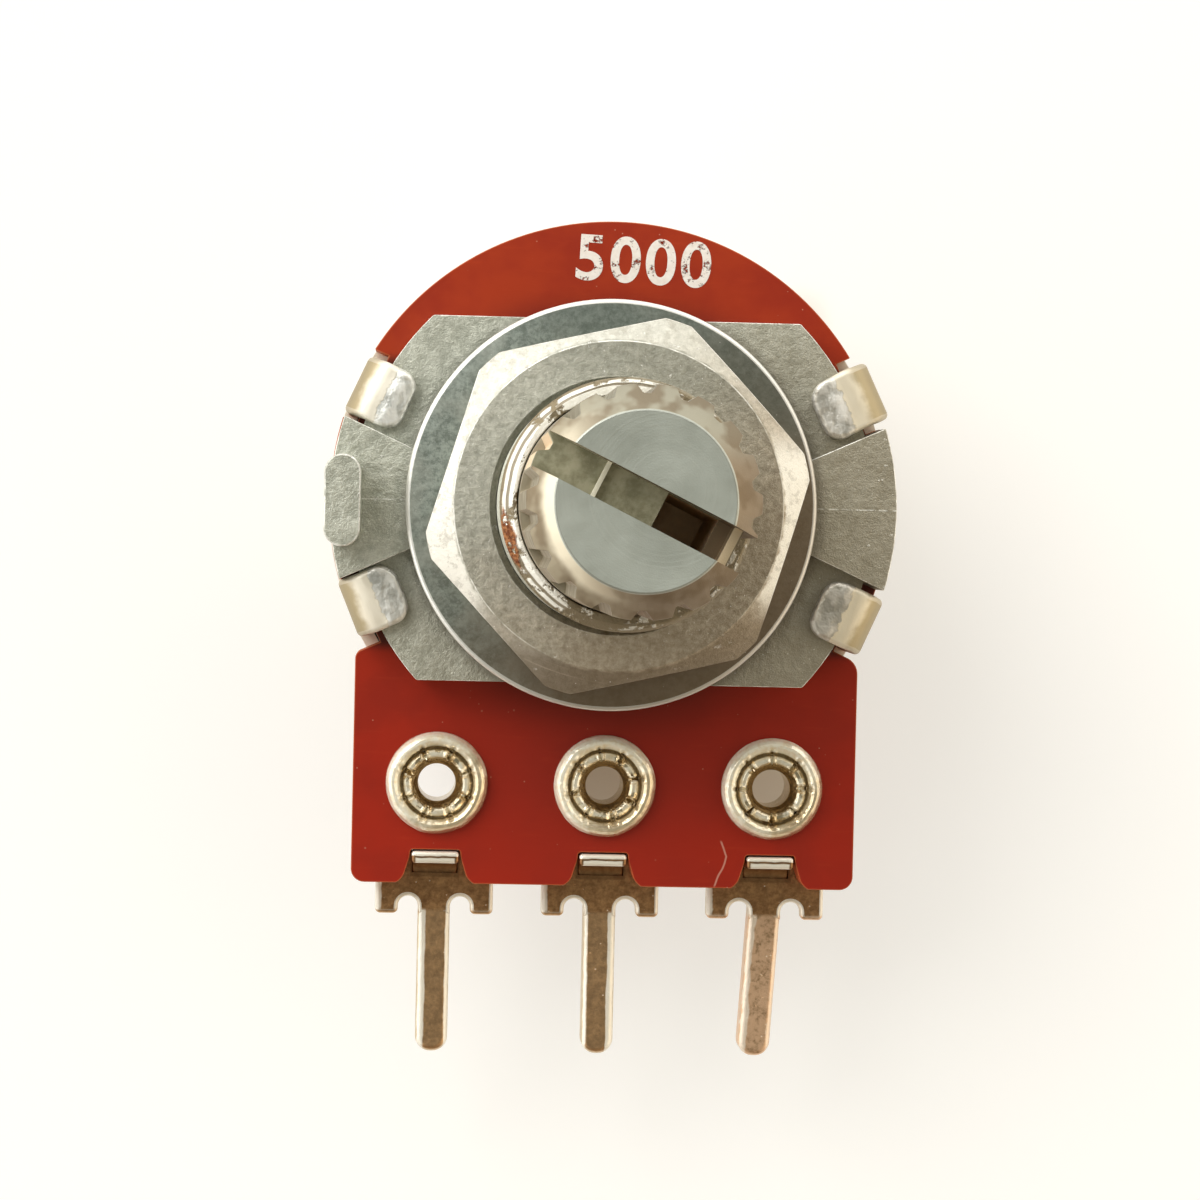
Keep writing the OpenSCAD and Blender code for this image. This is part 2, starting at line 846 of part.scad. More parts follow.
// The grooves between the knurl's teeth, seen from the end
module knurl_grooves() {
    step = 360 / knurl_teeth;
    wide = shaft_r * sin(step * groove_share / 2);
    narrow = shaft_r * sin(step * floor_share / 2);
    spread = wide + (wide - narrow);
    for (i = [0:knurl_teeth - 1])
        rotate((i + 0.5) * step)
            polygon([
                [shaft_r - knurl_depth, -narrow],
                [shaft_r + knurl_depth, -spread],
                [shaft_r + knurl_depth, spread],
                [shaft_r - knurl_depth, narrow]
            ]);
}

// The slot is open to one side, and half filled with a ridge on the other
module shaft_slot() {
    plateau_z = tip_z - slot_step;
    rotate(slot_turn)
        difference() {
            translate([-shaft_d, -slot_w / 2, slot_floor]) cube([2 * shaft_d, slot_w, slot_depth + 1]);
            translate([-shaft_d, -slot_w, slot_floor - 1])
                cube([shaft_d + slot_step_x, 2 * slot_w, plateau_z - slot_floor + 1]);
            translate([-ridge_x - ridge_w / 2, -slot_w, slot_floor])
                cube([ridge_w, 2 * slot_w, slot_depth - ridge_drop]);
        }
}

module shaft() {
    color("#9c9b86")
        difference() {
            union() {
                rotate_extrude()
                    polygon([
                        [0, shoulder_z],
                        [shaft_r, shoulder_z],
                        [shaft_r, tip_z - tip_bevel],
                        [shaft_r - tip_bevel, tip_z],
                        [0, tip_z]
                    ]);
                translate([0, 0, carrier_z])
                    cylinder(d = neck_d, h = shoulder_z - carrier_z + groove_wall / 2);
                intersection() {
                    translate([0, 0, drum_z - head_t])
                        cylinder(d = tail_d, h = carrier_z - drum_z + head_t + neck_gap);
                    translate([-big, -tail_flats / 2, 0]) cube([2 * big, tail_flats, tip_z]);
                }
                translate([0, 0, drum_z - head_t]) cylinder(r = head_r, h = head_t);
                translate([0, 0, tail_tip_z]) cylinder(r = tail_tip_r, h = drum_z - tail_tip_z);
            }
            tube(pocket_r, groove_r, ring_z, ring_t);
            translate([0, 0, tip_z - knurl_l]) linear_extrude(height = knurl_l + 1) knurl_grooves();
            shaft_slot();
        }
}

module thrust_washer() {
    color("#8d8c84") tube(ring_r, bore_r, thrust_z, thrust_t);
}

// Open ring in the shaft's groove
module retaining_ring() {
    color("#6f6c66")
        difference() {
            tube(ring_r, groove_r + seat_gap, ring_z + seat_gap, ring_t - 2 * seat_gap);
            translate([0, 0, ring_z - 1])
                linear_extrude(height = ring_t + 2)
                    wedge(big, 90 - ring_open / 2, 90 + ring_open / 2);
        }
}

module tail_hole() {
    intersection() {
        circle(r = tail_d / 2 + seat_gap);
        square([big, tail_flats + 2 * seat_gap], center = true);
    }
}

module wiper_carrier() {
    color("#1f1d1b")
        difference() {
            union() {
                translate([0, 0, flange_z]) cylinder(r = flange_r, h = flange_t);
                translate([0, 0, drum_z]) cylinder(r = drum_r, h = drum_t);
                translate([0, 0, drum_z])
                    linear_extrude(height = drum_t)
                        intersection() {
                            circle(r = flange_r);
                            wedge(big, 90 - lug_half, 90 + lug_half);
                        }
                for (side = [-1, 1])
                    translate([side * pip_at, 0, carrier_z])
                        cylinder(r = pip_r, h = 2 * brush_t, $fn = 48);
            }
            translate([0, 0, drum_z - 1]) linear_extrude(height = big) tail_hole();
            translate([0, detent_at - leaf_w / 2 - detent_side, drum_z])
                rotate([-90, 0, 0]) cylinder(r = detent_depth, h = leaf_w + 2 * detent_side, $fn = 48);
        }
}

// One finger: it slopes up from the brush's ring to a round contact
module finger(y) {
    low = carrier_z + brush_t / 2;
    high = film_z - wiper_gap - brush_t;
    translate([0, y + finger_w / 2, 0])
        rotate([90, 0, 0])
            linear_extrude(height = finger_w)
                union() {
                    polygon([
                        [-finger_run, low - brush_t / 2],
                        [-finger_run, low + brush_t / 2],
                        [0, high + brush_t / 2],
                        [0, high - brush_t / 2]
                    ]);
                    translate([0, high]) circle(r = brush_t, $fn = 48);
                }
}

module wiper_brush() {
    color("#c58a4e")
        union() {
            difference() {
                union() {
                    tube(brush_out, brush_in, carrier_z, brush_t);
                    intersection() {
                        translate([0, 0, carrier_z]) cylinder(r = flange_r - rim_gap, h = brush_t);
                        translate([-finger_run - finger_root, inner_r - finger_root, 0])
                            cube([finger_root + finger_lap, flange_r, tip_z]);
                    }
                }
                for (side = [-1, 1])
                    translate([side * pip_at, 0, carrier_z - 1])
                        cylinder(r = pip_r + seat_gap, h = 2, $fn = 48);
                translate([-finger_run + finger_lap, inner_r - finger_pitch, carrier_z - 1])
                    cube([2 * finger_run, 2 * finger_pitch, 2]);
            }
            for (r = [inner_r, track_r], k = [-0.5, 0.5])
                finger(r + k * finger_pitch);
        }
}

// Bowed leaf on the cover's floor; its nose drops into the carrier's notch
module detent_spring() {
    center_z = leaf_top_z - leaf_r;
    color("#7d7c78")
        translate([0, detent_at + leaf_w / 2, 0])
            rotate([90, 0, 0])
                linear_extrude(height = leaf_w)
                    difference() {
                        union() {
                            intersection() {
                                translate([0, center_z]) circle(r = leaf_r, $fn = 128);
                                translate([-leaf_run, cover_wall]) square([2 * leaf_run, leaf_h]);
                            }
                            translate([0, drum_z]) circle(r = nose_r, $fn = 48);
                        }
                        translate([0, center_z]) circle(r = leaf_r - leaf_t, $fn = 128);
                    }
}

rear_cover();
element_board();
carbon_track();
collector_track();
end_contact(-1);  // left_end_contact
end_contact(1);  // right_end_contact
terminal(-1);  // left_terminal
terminal(0);  // center_terminal
terminal(1, bent_pin);  // right_terminal
eyelet(-1);  // left_eyelet
eyelet(0);  // center_eyelet
eyelet(1);  // right_eyelet
bushing_plate();
panel_washer();
mounting_nut();
detent_spring();
shaft();
thrust_washer();
retaining_ring();
wiper_carrier();
wiper_brush();
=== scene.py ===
# %% [markdown]
# # A rotary potentiometer with a centre detent
# The real part is a small electrical control: a pressed steel cup holds a red
# phenolic board, a die-cast plate with a threaded bushing lies on the board,
# and four claws of the cup fold over the plate. A slotted shaft turns inside.
# This lesson dresses the measured solids of that part. The solids come first,
# because every piece made here goes where they say.

# %% The measured solids
import math
from math import atan2, cos, degrees, radians, sin, tan
import bpy
import bmesh
from mathutils import Matrix, Vector, noise


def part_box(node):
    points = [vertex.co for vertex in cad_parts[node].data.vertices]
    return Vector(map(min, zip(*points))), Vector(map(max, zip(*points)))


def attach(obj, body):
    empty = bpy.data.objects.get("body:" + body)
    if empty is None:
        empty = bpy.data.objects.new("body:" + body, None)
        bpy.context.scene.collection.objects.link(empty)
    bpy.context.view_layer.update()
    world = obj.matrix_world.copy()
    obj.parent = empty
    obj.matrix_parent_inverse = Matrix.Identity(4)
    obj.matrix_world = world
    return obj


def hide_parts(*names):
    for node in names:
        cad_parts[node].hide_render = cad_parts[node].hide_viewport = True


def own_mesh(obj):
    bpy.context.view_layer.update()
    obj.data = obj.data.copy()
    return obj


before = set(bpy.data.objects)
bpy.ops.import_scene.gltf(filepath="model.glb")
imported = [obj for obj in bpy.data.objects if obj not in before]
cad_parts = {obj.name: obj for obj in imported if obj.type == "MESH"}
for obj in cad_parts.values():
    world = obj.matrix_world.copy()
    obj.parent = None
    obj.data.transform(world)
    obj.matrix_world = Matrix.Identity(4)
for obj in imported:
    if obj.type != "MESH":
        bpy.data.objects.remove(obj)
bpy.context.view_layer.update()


def box_mm(node):
    """The lowest and highest corner of a solid, in millimetres."""
    low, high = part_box(node)
    return Vector(low) * 1000, Vector(high) * 1000


# %% [markdown]
# The heights of all the pieces follow from each other: the board lies on the
# cup's rim, the plate on the board, the washer on the plate and the nut on the
# washer. Reading them from the solids once keeps every piece in its place.

# %% Heights and radii
BOARD_LOW, BOARD_TOP = (corner.z for corner in box_mm("element_board"))
WASHER_LOW, WASHER_TOP = (corner.z for corner in box_mm("panel_washer"))
NUT_TOP = box_mm("mounting_nut")[1].z
MOUTH = box_mm("bushing_plate")[1].z
TIP = box_mm("shaft")[1].z
CUP_R = box_mm("rear_cover")[1].x
CUP_FLAT = 6.6
SHEET = 0.4
RECESS = WASHER_LOW - 0.5
SHAFT_R = box_mm("shaft")[1].x
BUSHING_R = 3.5
EYELET_Y = -8.3
PITCH = 5.0
CLAW_ANGLE = 24.3
CLAW_TURN = radians(CLAW_ANGLE)
print("board", BOARD_LOW, "to", BOARD_TOP, "tip", TIP)

# %% [markdown]
# ## Tools for making blanks
# A machinist starts from a blank and cuts it. The same works here: a blank is a
# disc, a block or a turned shape, and Boolean modifiers join and cut blanks.
# Everything is made in millimetres and scaled to metres at the end, because
# merging and beveling are more reliable on numbers near one.

# %% Blanks
def to_mesh(bm, merge=0):
    """Merge the points of a bmesh that lie close together, keep it as a mesh and free it."""
    if merge:
        bmesh.ops.remove_doubles(bm, verts=bm.verts, dist=merge)
    bmesh.ops.recalc_face_normals(bm, faces=bm.faces)
    mesh = bpy.data.meshes.new("blank")
    bm.to_mesh(mesh)
    bm.free()
    return mesh


def opened(mesh):
    """A bmesh with a mesh in it."""
    bm = bmesh.new()
    bm.from_mesh(mesh)
    return bm


def placed(name, data):
    """A new object in the scene."""
    thing = bpy.data.objects.new(name, data)
    bpy.context.collection.objects.link(thing)
    return thing


def rounded(bm, geom, width, segments, affect="EDGES", clamp=True):
    """Round some edges of a solid, or some corners of an outline."""
    return bmesh.ops.bevel(bm, geom=geom, offset=width, offset_type="OFFSET", segments=segments,
                           profile=0.5, affect=affect, clamp_overlap=clamp, material=-1)


def extruded(bm, faces, vec):
    """Extrude faces along a vector and return what was made."""
    made = bmesh.ops.extrude_face_region(bm, geom=faces)["geom"]
    bmesh.ops.translate(bm, verts=[g for g in made if isinstance(g, bmesh.types.BMVert)], vec=vec)
    return made


def block(low, high):
    """A box between two corners."""
    bm = bmesh.new()
    low, high = Vector(low), Vector(high)
    place = Matrix.Translation((low + high) / 2) @ Matrix.Diagonal((*(high - low), 1))
    bmesh.ops.create_cube(bm, size=1, matrix=place)
    return to_mesh(bm)


def disc(radius, low, high, at=(0, 0), sides=128):
    """A cylinder between two heights."""
    bm = bmesh.new()
    place = Matrix.Translation((*at, (low + high) / 2))
    bmesh.ops.create_cone(bm, cap_ends=True, segments=sides, radius1=radius, radius2=radius,
                          depth=high - low, matrix=place)
    return to_mesh(bm)


def turned(points, rounding=0, steps=128, round_where=None):
    """Turn a closed outline of radius and height around the Z axis, with its corners rounded."""
    bm = bmesh.new()
    corners = [bm.verts.new((x, 0, z)) for x, z in points]
    bm.faces.new(corners)
    chosen = [v for v in corners if v.co.x > 1e-4 and (not round_where or round_where(v.co))]
    soft = [Vector((v.co.x, v.co.z)) for v in chosen]
    if rounding and chosen:
        rounded(bm, chosen, rounding, 4, "VERTICES")
    bmesh.ops.delete(bm, geom=bm.faces[:], context="FACES_ONLY")
    on_axis = [e for e in bm.edges if all(v.co.x < 1e-4 for v in e.verts)]
    bmesh.ops.delete(bm, geom=on_axis, context="EDGES")
    bmesh.ops.spin(bm, geom=bm.verts[:] + bm.edges[:], cent=(0, 0, 0), axis=(0, 0, 1),
                   angle=math.tau, steps=steps, use_merge=True)
    bmesh.ops.remove_doubles(bm, verts=bm.verts, dist=1e-4)
    mark = bm.faces.layers.float.new("edge")
    for face in bm.faces:
        centre = face.calc_center_median()
        place = Vector((centre.xy.length, centre.z))
        face[mark] = any((place - corner).length < rounding for corner in soft)
    return to_mesh(bm)


def moved(mesh, x=0, y=0, turn=0, pivot=(0, 0, 0)):
    """A copy of a mesh, turned about a pivot and then moved."""
    copy = mesh.copy()
    pivot = Vector(pivot)
    copy.transform(Matrix.Translation(pivot + Vector((x, y, 0)))
                   @ Matrix.Rotation(radians(turn), 4, "Z") @ Matrix.Translation(-pivot))
    return copy


def carve(blank, add=(), cut=(), keep=()):
    """Join, cut and trim a blank with other blanks, and keep the result as a mesh."""
    stock = placed("stock", blank)
    helpers = []
    for operation, tools in (("UNION", add), ("DIFFERENCE", cut), ("INTERSECT", keep)):
        for tool in tools:
            helpers.append(placed("tool", tool))
            boolean = stock.modifiers.new("carve", "BOOLEAN")
            boolean.operation, boolean.object, boolean.solver = operation, helpers[-1], "MANIFOLD"
    shaped = stock.evaluated_get(bpy.context.evaluated_depsgraph_get())
    mesh = bpy.data.meshes.new_from_object(shaped)
    for helper in helpers + [stock]:
        bpy.data.objects.remove(helper)
    return mesh


print("blanks ready")

# %% [markdown]
# No edge of a real part is perfectly sharp. A narrow bevel along it catches the
# light, and that thin bright line is what makes metal look like metal. The
# bevel's faces are also marked in an attribute, so that a finish can show the
# wear there.

# %% Soft edges
def softened(mesh, width, segments=2, angle=35, where=None, worn=1, loose=False):
    """Round the edges that are sharper than an angle, and mark them as worn."""
    bm = opened(mesh)
    bmesh.ops.remove_doubles(bm, verts=bm.verts, dist=2e-4)
    bmesh.ops.dissolve_limit(bm, angle_limit=radians(0.5), verts=bm.verts, edges=bm.edges)
    mark = bm.faces.layers.float.get("edge") or bm.faces.layers.float.new("edge")
    sharp = [e for e in bm.edges if len(e.link_faces) == 2
             and e.calc_face_angle(0) > radians(angle)
             and (not where or where((e.verts[0].co + e.verts[1].co) / 2))]
    for face in rounded(bm, sharp, width, segments, clamp=not loose)["faces"]:
        face[mark] = worn
    print("  softened", len(sharp), "edges")
    return to_mesh(bm)


# %% [markdown]
# A finished piece gets smooth shading that breaks at the crease angle, weighted
# normals so that flat faces stay flat beside their bevels, its finish and the
# body that it rides on, and the solid that it stands for is hidden.

# %% Finished pieces
def finish_piece(name, mesh, finish, node, body="stator", crease=32):
    """Scale a mesh to metres and put it in the scene as a piece of the part."""
    mesh.transform(Matrix.Scale(0.001, 4))
    mesh.name = name
    mesh.shade_smooth()
    mesh.set_sharp_from_angle(angle=radians(crease))
    mesh.materials.clear()
    mesh.materials.append(finish.material)
    piece = placed(name, mesh)
    normals = piece.modifiers.new("flat faces stay flat", "WEIGHTED_NORMAL")
    normals.keep_sharp = True
    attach(piece, body)
    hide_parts(node)
    print(name, len(mesh.polygons), "faces")
    return piece


# %% [markdown]
# ## A desk for finishes
# A material is a graph of nodes. Writing the maths of such a graph node by node
# is long, so a small class wraps a socket: adding or multiplying two wires adds
# the Math node for it. Colours never go through Math, because it turns them
# grey: they are mixed with the Mix node.

# %% Wires and desks
class Wire:
    """A value, a colour or a vector on its way from one node to the next."""

    def __init__(self, desk, socket):
        self.desk, self.socket = desk, socket

    def math(self, operation, *others):
        return self.desk.node("ShaderNodeMath", {"operation": operation},
                              dict(enumerate((self, *others))))

    def __add__(self, other):
        return self.math("ADD", other)

    def __sub__(self, other):
        return self.math("SUBTRACT", other)

    def __mul__(self, other):
        return self.math("MULTIPLY", other)

    def __rsub__(self, other):
        return self.desk.node("ShaderNodeMath", {"operation": "SUBTRACT"}, {0: other, 1: self})

    __radd__, __rmul__ = __add__, __mul__

    def __abs__(self):
        return self.math("ABSOLUTE")

    def __pow__(self, other):
        return self.math("POWER", other)

    def folded(self, pitch):
        """The same stretch of values around 0, repeated with a pitch."""
        return self.math("WRAP", pitch / 2, -pitch / 2)

    def rise(self, low, high):
        """0 below the low value, 1 above the high one, and smooth between."""
        return self.desk.node("ShaderNodeMapRange", {"interpolation_type": "SMOOTHSTEP"},
                              {0: self, 1: low, 2: high})

    def fall(self, low, high):
        """1 below the low value, 0 above the high one, and smooth between."""
        return 1 - self.rise(low, high)


class Desk:
    """Adds nodes to one tree, and joins them."""

    def __init__(self, tree):
        self.tree = tree

    def put(self, socket, value):
        if isinstance(value, Wire):
            self.tree.links.new(value.socket, socket)
        elif hasattr(socket.default_value, "__len__") and len(socket.default_value) == 4:
            socket.default_value = (*value, 1) if len(value) == 3 else value
        else:
            socket.default_value = value

    def node(self, kind, settings=None, inputs=None, out=0):
        made = self.tree.nodes.new(kind)
        for name, value in (settings or {}).items():
            setattr(made, name, value)
        for name, value in (inputs or {}).items():
            self.put(made.inputs[name], value)
        return Wire(self, made.outputs[out])

    def split(self, vector):
        """The three values of a vector."""
        outputs = self.node("ShaderNodeSeparateXYZ", None, {0: vector}).socket.node.outputs
        return (Wire(self, outputs[i]) for i in range(3))

    def mix(self, mask, first, second):
        """The first colour where the mask is 0, the second where it is 1."""
        return self.node("ShaderNodeMix", {"data_type": "RGBA"}, {0: mask, 6: first, 7: second}, out=2)


# %% [markdown]
# A finish is a desk with a surface shader. It measures patterns in millimetres
# of the part itself, so a scratch stays where it is when the shaft turns. The
# patterns are noise for dirt and grain, cells for specks, and turning marks.

# %% Finishes
class Finish(Desk):
    """A procedural material, named after the slot that it finishes."""

    def __init__(self, slot):
        self.slot = slot
        self.material = bpy.data.materials.new(slot)
        self.material.use_nodes = True
        super().__init__(self.material.node_tree)
        self.shader = self.tree.nodes["Principled BSDF"]
        place = self.node("ShaderNodeTexCoord", out=3)
        self.mm = self.node("ShaderNodeVectorMath", {"operation": "SCALE"}, {0: place, 3: 1000})
        self.x, self.y, self.z = self.split(self.mm)

    def mapped(self, stretch, turn):
        """The place on the part, scaled along the axes and then turned about Z."""
        return self.node("ShaderNodeMapping", None, {
            "Vector": self.mm, "Rotation": (0, 0, radians(turn)), "Scale": stretch})

    def noise(self, scale, detail=3, rough=0.55, stretch=None, turn=0, at=None):
        """Soft random grain; scale is the number of features in a millimetre."""
        where = self.mapped(stretch, turn) if stretch else at or self.mm
        return self.node("ShaderNodeTexNoise", None, {
            "Vector": where, "Scale": scale, "Detail": detail, "Roughness": rough})

    def spots(self, where, scale, inner, outer):
        """1 near the middle of each cell of a random pattern, 0 farther out."""
        cells = self.node("ShaderNodeTexVoronoi", None, {"Vector": where, "Scale": scale})
        return cells.fall(inner, outer)

    def specks(self, scale, size, seed=0):
        """Small round spots: 1 in a spot and 0 elsewhere."""
        where = self.node("ShaderNodeVectorMath", {"operation": "ADD"}, {0: self.mm, 1: (seed, seed, seed)})
        return self.spots(where, scale, size * 0.6, size)

    def scratches(self, scale, turn, width=0.025, long=14):
        """Short straight lines in one direction: small spots on ground that is stretched."""
        return self.spots(self.mapped((1, 1 / long, 1), turn), scale, width * scale * 0.4, width * scale)

    def radius(self, x=0, y=0):
        """Distance from an axis along Z."""
        return ((self.x - x) ** 2 + (self.y - y) ** 2) ** 0.5

    def worn(self):
        """1 on the beveled edges, 0 elsewhere."""
        return self.node("ShaderNodeAttribute", {"attribute_name": "edge"}, out=2)

    def shade_side(self, wide=6):
        """0 on the upper left of the part, 1 on the lower right, away from the light: the mask of a painted
        warm shade.
        """
        ragged = (self.noise(0.5, 3) - 0.5) * 4
        return (self.x * 0.7 - self.y * 0.7 + ragged).rise(-wide, wide)

    def paint(self, mask, colour):
        """Lay a colour over the surface's colour where the mask is 1."""
        self.colour = self.mix(mask, self.colour, colour)

    def wear(self, **sockets):
        """Give the shader the surface's colour, and constants and wires for its other sockets."""
        for name, value in {"Base_Color": self.colour, **sockets}.items():
            self.put(self.shader.inputs[name.replace("_", " ")], value)

    def relief(self, height):
        """Feed a height in millimetres to the surface's normal."""
        bump = self.node("ShaderNodeBump", None, {"Strength": 1.0, "Distance": 0.001, "Height": height})
        self.put(self.shader.inputs["Normal"], bump)


print("finishes can be mixed")

# %% [markdown]
# ## Camera, floor and light
# The part lies on its back and is seen from straight above its shaft with a
# long lens. The floor is plain and pale. The world is a soft tent: bright near
# the horizon, greyer overhead, so that flat metal looks mid grey while every
# bend and rim catches a bright line, and warmer low on the right. The floor
# looks white, but under the part it keeps its shade, and there its colour is
# painted warm, a painted reflection of light bounced off the board and brass.

# %% Camera
lens = bpy.data.cameras.new("overhead camera")
camera = placed("overhead camera", lens)
camera.location = (-0.005612, -0.000997, 0.113600)
camera.rotation_euler = [radians(a) for a in (-1.014, -2.852, 1.287)]
lens.sensor_width, lens.lens = 36, 107.5
lens.clip_start, lens.clip_end = 0.001, 5
bpy.context.scene.camera = camera
bpy.context.scene.view_settings.view_transform = "Standard"

# %% Floor
bm = bmesh.new()
bmesh.ops.create_grid(bm, x_segments=1, y_segments=1, size=0.6)
floor = placed("floor", to_mesh(bm))
paper = Finish("floor paper")
seen = sum(paper.node("ShaderNodeLightPath", out=i) for i in (0, 3, 6))
under = paper.x.rise(-4.6, -3.2) * paper.x.fall(6, 7.5) * abs(paper.y + 2).fall(7.5, 9.5)
# painted reflection: the floor under the part is painted warmer, for light bounced off the board and the
# brass
paper.colour = paper.mix(under * 0.8, (0.61, 0.60, 0.58), (0.64, 0.56, 0.46))
white = paper.mix(seen * (1 - under), (0, 0, 0), (0.445, 0.441, 0.431))
paper.wear(Roughness=0.9, Emission_Color=white, Emission_Strength=1.0)
floor.data.materials.append(paper.material)

# %% World
world = bpy.data.worlds.new("soft tent")
world.use_nodes = True
bpy.context.scene.world = world
tent = Desk(world.node_tree)
east, north, up = tent.split(tent.node("ShaderNodeTexCoord", out=0))
overhead = up.rise(0.45, 0.88)
low_right = (east * 0.75 - north * 0.65).rise(-0.1, 0.9)
wall = tent.mix(low_right, (1.95, 1.92, 1.82), (1.85, 1.62, 1.25))
wall = tent.mix(north.fall(-0.75, -0.40), wall, (0.30, 0.22, 0.14))
ceiling = tent.mix(low_right, (0.235, 0.24, 0.205), (0.20, 0.175, 0.125))
tent.put(world.node_tree.nodes["Background"].inputs["Color"], tent.mix(overhead, wall, ceiling))

# %% Lamp
light = bpy.data.lights.new("window light", "AREA")
light.size, light.energy, light.color = 0.85, 8.0, (1.0, 0.99, 0.96)
lamp = placed("window light", light)
lamp.location = (-0.70, 0.66, 0.80)
lamp.rotation_euler = (-lamp.location).to_track_quat("-Z", "Y").to_euler()
print("camera, floor and light placed")

# %% [markdown]
# ## The rear cover
# The cover is a cup drawn from plated steel sheet, with a flat on the side of
# the pins. It could be cut from a solid, but a real cup has the same thickness
# everywhere, so it is a closed outline pulled up, with its lower edge rounded,
# and given its thickness inwards at the end.

# %% Cup
def cup():
    """The drawn cup: a disc with a flat, pulled up, rounded below, open above."""
    bm = bmesh.new()
    bmesh.ops.create_circle(bm, cap_ends=True, radius=CUP_R, segments=160)
    bmesh.ops.bisect_plane(bm, geom=bm.verts[:] + bm.edges[:] + bm.faces[:], dist=1e-5,
                           plane_co=(0, -CUP_FLAT, 0), plane_no=(0, -1, 0), clear_outer=True)
    extruded(bm, bm.faces[:], (0, 0, BOARD_LOW))
    lids = [f for f in bm.faces if all(v.co.z > 1 for v in f.verts)]
    bmesh.ops.delete(bm, geom=lids, context="FACES_ONLY")
    rim = [e for e in bm.edges if all(v.co.z < 1 for v in e.verts)]
    rounded(bm, rim, 0.7, 6)
    corners = [e for e in bm.edges if len(e.link_faces) == 2 and e.calc_face_angle(0) > radians(25)]
    rounded(bm, corners, 0.3, 4)
    bmesh.ops.recalc_face_normals(bm, faces=bm.faces)
    if sum(f.normal.z * f.calc_area() for f in bm.faces) > 0:
        bmesh.ops.reverse_faces(bm, faces=bm.faces)
    bmesh.ops.solidify(bm, geom=bm.faces[:], thickness=SHEET)
    return to_mesh(bm)


cup_blank = cup()
print("cup", len(cup_blank.polygons), "faces")

# %% [markdown]
# Each claw is a strip of the same sheet. It rises past the board, bends in
# with a round corner and lies on the plate. A strip that is extruded, spun
# through the bend and extruded again follows the press tool's own steps. The
# folding left shallow dents on the flat, so its points are pushed a little.

# %% Claws
CLAW_X = math.sqrt(CUP_R ** 2 - 0.9 ** 2) - 0.02
CLAW_TOP = RECESS + SHEET
BEND_R = CLAW_X - 7.5
CLAW_TIP = CUP_R - 1.76
CLAW_W, TIP_R = 1.8, 0.55


def wave(*place):
    """Smooth random height between about -1 and 1."""
    return noise.noise(Vector(place))


def passed_on(bm, faces, made):
    """Delete the end faces that a strip has grown from and return its new ones."""
    bmesh.ops.delete(bm, geom=[f for f in faces if f.is_valid], context="FACES_ONLY")
    return [g for g in made if isinstance(g, bmesh.types.BMFace)]


def pulled(bm, faces, vec, start=False):
    """Extrude end faces along a vector and return the new ones; only a start stays as a wall."""
    return passed_on(bm, [] if start else faces, extruded(bm, faces, vec))


def swung(bm, faces, cent, axis, steps):
    """Spin end faces through a right angle and return the new ones."""
    made = bmesh.ops.spin(bm, geom=faces, cent=cent, axis=axis, angle=math.pi / 2, steps=steps,
                          use_merge=False)
    return passed_on(bm, faces, made["geom_last"])


def claw_strip(tip):
    """One claw at the +X side: up, around the bend and in over the plate to its tip."""
    bm = bmesh.new()
    bmesh.ops.create_grid(bm, x_segments=1, y_segments=14, size=0.5,
                          matrix=Matrix.Translation((CLAW_X - SHEET / 2, 0, BOARD_LOW - 1))
                          @ Matrix.Diagonal((SHEET, CLAW_W, 1, 1)))
    front = pulled(bm, bm.faces[:], (0, 0, CLAW_TOP - BEND_R - BOARD_LOW + 1), start=True)
    front = swung(bm, front, (CLAW_X - BEND_R, 0, CLAW_TOP - BEND_R), (0, -1, 0), 8)
    for step in range(9):
        front = pulled(bm, front, ((tip - CLAW_X + BEND_R) / 9, 0, 0))
    return to_mesh(bm, merge=1e-4)


def claw(seed, angle, longer, lean):
    """A strip with round tip corners, soft edges, and its own length, lean and dents."""
    tip, square = CLAW_TIP - longer, CLAW_W / 2 - TIP_R
    end = carve(block((tip + TIP_R, -1, 0), (CUP_R + 1, 1, TIP)),
                add=[disc(TIP_R, 0, TIP, at=(tip + TIP_R, side * square), sides=48) for side in (1, -1)]
                + [block((tip, -square, 0), (tip + 1, square, TIP))])
    bm = opened(softened(carve(claw_strip(tip), keep=[end]), 0.16, 4, 55))
    for v in bm.verts:
        rise = max(0, min(1, (v.co.z - BOARD_TOP) / 1.1))
        v.co.x += lean * rise * rise * (3 - 2 * rise)
        if v.co.z > RECESS + 0.05:
            dent = wave(v.co.x * 1.7, v.co.y * 1.7, seed * 3.1)
            inward = max(0, (CLAW_X - BEND_R - v.co.x) / 1.2)
            v.co.z -= 0.10 * max(0, dent + 0.25) * min(1, inward + 0.2)
            v.co.y += 0.05 * wave(v.co.x * 1.6, seed * 5.3, v.co.z)
    return moved(to_mesh(bm), turn=angle)


# angle, extra length and lean of each claw: no two are folded alike
claws = [claw(seed, *how) for seed, how in enumerate((
    (25.2, 0.30, 0.22), (-23.9, 0.15, 0.12), (202.4, 0.02, 0.02), (155.5, 0.0, 0.02)))]
print("claws", len(claws))
